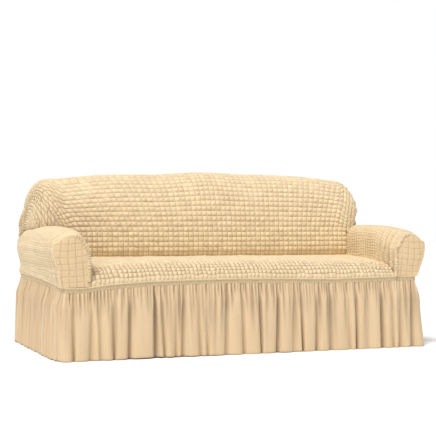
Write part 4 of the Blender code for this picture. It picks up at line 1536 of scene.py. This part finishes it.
def gathers(along, drop, start, end, sizes, seed):
    """Depth, 0 to about 1, of the fine gathers that run down from the band and merge."""
    count = round((end - start) / sizes.gather)
    rng = np.random.default_rng(seed)
    jitter, depth, reach, drift = rng.random((4, count))
    centres = start + (np.arange(count) + 0.5 + 0.5 * (jitter - 0.5)) * (end - start) / count
    depth = 0.40 + 0.70 * depth
    reach = 0.14 + 0.60 * reach ** 2.0
    drift = GATHER_DRIFT * (drift - 0.5)
    sunk = np.zeros(np.broadcast(along, drop).shape)
    for centre, deep, far, move in zip(centres, depth, reach, drift):
        near = np.abs(along[0] - centre) < 0.05
        down = drop[:, near]
        width = GATHER_WIDTH + GATHER_GROWTH * np.clip(down / 0.5, 0.0, 1.0)
        fade = 1.0 - smooth(down / far, 0.0, 1.8)
        off = along[:, near] - centre - move * down
        sunk[:, near] += deep * fade * np.exp(-((off / width) ** 2))
    return sunk * smooth(along - start, 0.0, 0.01) * smooth(end - along, 0.0, 0.01)


class SLIPCOVER_OT_skirt(bpy.types.Operator):
    """Build the four gathered lengths of the skirt, each with a turned hem"""

    bl_idname = "slipcover.skirt"
    bl_label = "Skirt"

    def execute(self, context):
        sizes, colours = context.scene.slipcover_sizes, context.scene.slipcover_colours
        lengths = girth_lengths(GIRTH_TURN + SIDE_SEAM)
        for (start, end), (word, pitch, phase) in zip(lengths, SKIRT_LENGTHS):
            cloth = plain_material(f"skirt_{word}_plain", tuple(colours.skirt), tuple(colours.groove_and_shade))
            self.length(sizes, start + SEAM_GAP / 2, end - SEAM_GAP / 2, pitch, phase, word, cloth)
        return {"FINISHED"}

    def length(self, sizes, start, end, pitch, phase, word, cloth):
        """One length: its main folds, its fine gathers and its hem, turned under."""
        folds = np.array(fold_columns(start, end, pitch, phase))
        columns = np.linspace(start, end, int((end - start) / COLUMN_STEP) + 1)
        along, drop = np.meshgrid(columns, DROPS)
        wave = Curve(folds[:, :2]).value(along)
        lean = np.interp(along, folds[:, 0], folds[:, 2])
        loose = drop ** 0.7
        x, y, out_x, out_y = girth_place(along + FOLD_LEAN * lean * loose * drop)
        out = by_side(out_x, out_y, *PUFFS) * smooth(drop, 0.0, 0.25)
        out = out + by_side(out_x, out_y, *FLARES) * drop
        out = out + wave * (FOLD_TOP + (FOLD_HEM - FOLD_TOP) * loose)
        sunk = gathers(along, drop, start, end, sizes, sizes.seed + len(word) + 60)
        out = out - sizes.gather_depth * sunk * (0.35 + 0.65 * smooth(drop, 0.0, 0.12))
        out = out + SKIRT_WAVE * soft_noise(along / 0.05, drop * 2.0, sizes.seed + 61) * drop
        # Painted shade in the gathers and the folds' troughs, growing towards the hem and on the left
        # side
        dark = GATHER_PAINTED_SHADE * np.clip(sunk, 0.0, 1.0)
        dark = dark + FOLD_PAINTED_SHADE * np.clip(-wave - 0.1, 0.0, 1.0) * smooth(drop, 0.0, 0.35)
        dark = dark + HEM_PAINTED_SHADE * drop + by_side(out_x, out_y, 0.0, 0.0, 0.0, LEFT_PAINTED_SHADE)
        top = girth_height(x, y, out_x, out_y) - BAND_HEIGHT - EDGE_GAP
        hem = by_side(out_x, out_y, hem_lift.value(x), 0.0, 0.0, HEM_LIFT_LEFT)
        z = top + (hem - top) * drop
        points = join(x + out * out_x, y + out * out_y, z)
        points, measure = self.turn_hem(points, out_x, out_y, sizes)
        dark = np.concatenate([dark, np.repeat(dark[-1:], len(measure), axis=0)])
        rows = np.concatenate([z[:, len(columns) // 2], [z[-1, 0] - step for step in measure]])
        cells = join(*np.meshgrid(columns, rows))
        piece = lay_cloth(f"skirt_{word}_cloth", points, cells, [cloth], BEHIND_SKIRT, dark=dark)
        finish_piece(piece, f"skirt_{word}")

    def turn_hem(self, points, out_x, out_y, sizes):
        """Adds the hem's fold, turned under and up behind the skirt's foot."""
        inward = join(-out_x[-1], -out_y[-1], 0.0)
        lift = np.array([0.0, 0.0, 1.0])
        foot = points[-1]
        steps = (*HEM_FOLD, (HEM_IN, sizes.hem))
        extra = [foot + inward * back + lift * rise for back, rise in steps]
        return np.concatenate([points, np.stack(extra)]), [back + rise for back, rise in steps]


# The stage --------------------------------------------------------------------------

# The photograph's camera: place, heading in degrees, width of its picture in pixels, and its
# focal length and shift in picture widths
CAMERA_PLACE = (-2.0558, -5.4150, 0.6223)
CAMERA_HEADING = -20.88
PHOTO_WIDTH = 436
CAMERA_FOCAL = 1072.2 / PHOTO_WIDTH
CAMERA_SHIFT = 10.0 / PHOTO_WIDTH
SENSOR = 36.0
# The floor's half width, and how far it lies under the hem
FLOOR_HALF = 30.0
FLOOR_DROP = 0.0012
# Studio light: the direction it comes from, its sky's range and strengths, and its lamp
LIGHT_FROM = (-0.37, -0.34, 0.86)
SKY_SPREAD = (-0.55, 1.0)
SKY_STRENGTH = (0.08, 0.98)
SUN_STRENGTH = 1.85
SUN_SPREAD = 14.0
WHITE = (1.0, 1.0, 1.0, 1.0)


class SLIPCOVER_OT_stage(bpy.types.Operator):
    """Build the pale floor, the soft studio light and the camera"""

    bl_idname = "slipcover.stage"
    bl_label = "Stage"

    def execute(self, context):
        scene = context.scene
        for old in [o for o in scene.objects if o.type in {"CAMERA", "LIGHT"}]:
            bpy.data.objects.remove(old)
        self.floor(scene)
        self.light(scene)
        self.camera(scene)
        return {"FINISHED"}

    def floor(self, scene):
        """One wide pale floor."""
        mesh = bpy.data.meshes.new("floor")
        corners = ((-1, -1), (1, -1), (1, 1), (-1, 1))
        corners = [(x * FLOOR_HALF, y * FLOOR_HALF, -FLOOR_DROP) for x, y in corners]
        mesh.from_pydata(corners, [], [(0, 1, 2, 3)])
        material = bpy.data.materials.new("pale_floor")
        material.use_nodes = True
        shader = material.node_tree.nodes["Principled BSDF"]
        shader.inputs["Base Color"].default_value = (*scene.slipcover_colours.floor, 1.0)
        shader.inputs["Roughness"].default_value = 0.9
        mesh.materials.append(material)
        floor = bpy.data.objects.new("floor", mesh)
        scene.collection.objects.link(floor)

    def light(self, scene):
        """A white studio, brighter towards the upper left, and one soft lamp from there."""
        world = bpy.data.worlds.new("studio")
        world.use_nodes = True
        tree = world.node_tree
        sky = tree.nodes["Background"]
        sky.inputs["Color"].default_value = WHITE
        ray = tree.nodes.new("ShaderNodeTexCoord")
        facing = tree.nodes.new("ShaderNodeVectorMath")
        facing.operation = "DOT_PRODUCT"
        facing.inputs[1].default_value = LIGHT_FROM
        tree.links.new(ray.outputs["Generated"], facing.inputs[0])
        strength = tree.nodes.new("ShaderNodeMapRange")
        strength.interpolation_type = "SMOOTHSTEP"
        ends = zip(("From Min", "From Max", "To Min", "To Max"), (*SKY_SPREAD, *SKY_STRENGTH))
        for name, value in ends:
            strength.inputs[name].default_value = value
        tree.links.new(facing.outputs["Value"], strength.inputs["Value"])
        tree.links.new(strength.outputs["Result"], sky.inputs["Strength"])
        backdrop = tree.nodes.new("ShaderNodeBackground")
        path = tree.nodes.new("ShaderNodeLightPath")
        both = tree.nodes.new("ShaderNodeMixShader")
        tree.links.new(path.outputs["Is Camera Ray"], both.inputs[0])
        tree.links.new(sky.outputs[0], both.inputs[1])
        tree.links.new(backdrop.outputs[0], both.inputs[2])
        tree.links.new(both.outputs[0], tree.nodes["World Output"].inputs["Surface"])
        backdrop.inputs["Color"].default_value = WHITE
        scene.world = world
        scene.view_settings.view_transform = "Standard"
        lamp = bpy.data.lights.new("soft_key", "SUN")
        lamp.energy = SUN_STRENGTH
        lamp.angle = math.radians(SUN_SPREAD)
        key = bpy.data.objects.new("soft_key", lamp)
        key.rotation_euler = Vector(LIGHT_FROM).to_track_quat("Z", "Y").to_euler()
        scene.collection.objects.link(key)

    def camera(self, scene):
        """The camera, at the photograph's place and framing."""
        data = bpy.data.cameras.new("camera")
        data.sensor_width = SENSOR
        data.lens = CAMERA_FOCAL * SENSOR
        data.shift_y = CAMERA_SHIFT
        camera = bpy.data.objects.new("camera", data)
        camera.location = CAMERA_PLACE
        camera.rotation_euler = (math.radians(90.0), 0.0, math.radians(CAMERA_HEADING))
        scene.collection.objects.link(camera)
        scene.camera = camera


# The add-on -------------------------------------------------------------------------

OPERATORS = (
    SLIPCOVER_OT_stage,
    SLIPCOVER_OT_inside_back,
    SLIPCOVER_OT_outside_back,
    SLIPCOVER_OT_seat,
    SLIPCOVER_OT_arm_wraps,
    SLIPCOVER_OT_arm_fronts,
    SLIPCOVER_OT_band,
    SLIPCOVER_OT_skirt,
)


class VIEW3D_PT_slipcover(bpy.types.Panel):
    """Sizes, colours and pieces of the slipcover"""

    bl_label = "Slipcover"
    bl_space_type = "VIEW_3D"
    bl_region_type = "UI"
    bl_category = "Slipcover"

    def draw(self, context):
        for group in (context.scene.slipcover_sizes, context.scene.slipcover_colours):
            box = self.layout.box()
            for name in group.__annotations__:
                box.prop(group, name)
        for operator in OPERATORS:
            self.layout.operator(operator.bl_idname)


CLASSES = (SlipcoverSizes, SlipcoverColours, *OPERATORS, VIEW3D_PT_slipcover)


def register():
    """Registers the add-on's classes and its two groups of settings."""
    for cls in CLASSES:
        bpy.utils.register_class(cls)
    bpy.types.Scene.slipcover_sizes = PointerProperty(type=SlipcoverSizes)
    bpy.types.Scene.slipcover_colours = PointerProperty(type=SlipcoverColours)


def unregister():
    """Takes them out again."""
    del bpy.types.Scene.slipcover_colours
    del bpy.types.Scene.slipcover_sizes
    for cls in reversed(CLASSES):
        bpy.utils.unregister_class(cls)


def main():
    """Builds every piece in order."""
    register()
    for operator in OPERATORS:
        group, name = operator.bl_idname.split(".")
        getattr(getattr(bpy.ops, group), name)()
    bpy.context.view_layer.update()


if __name__ == "__main__":
    main()
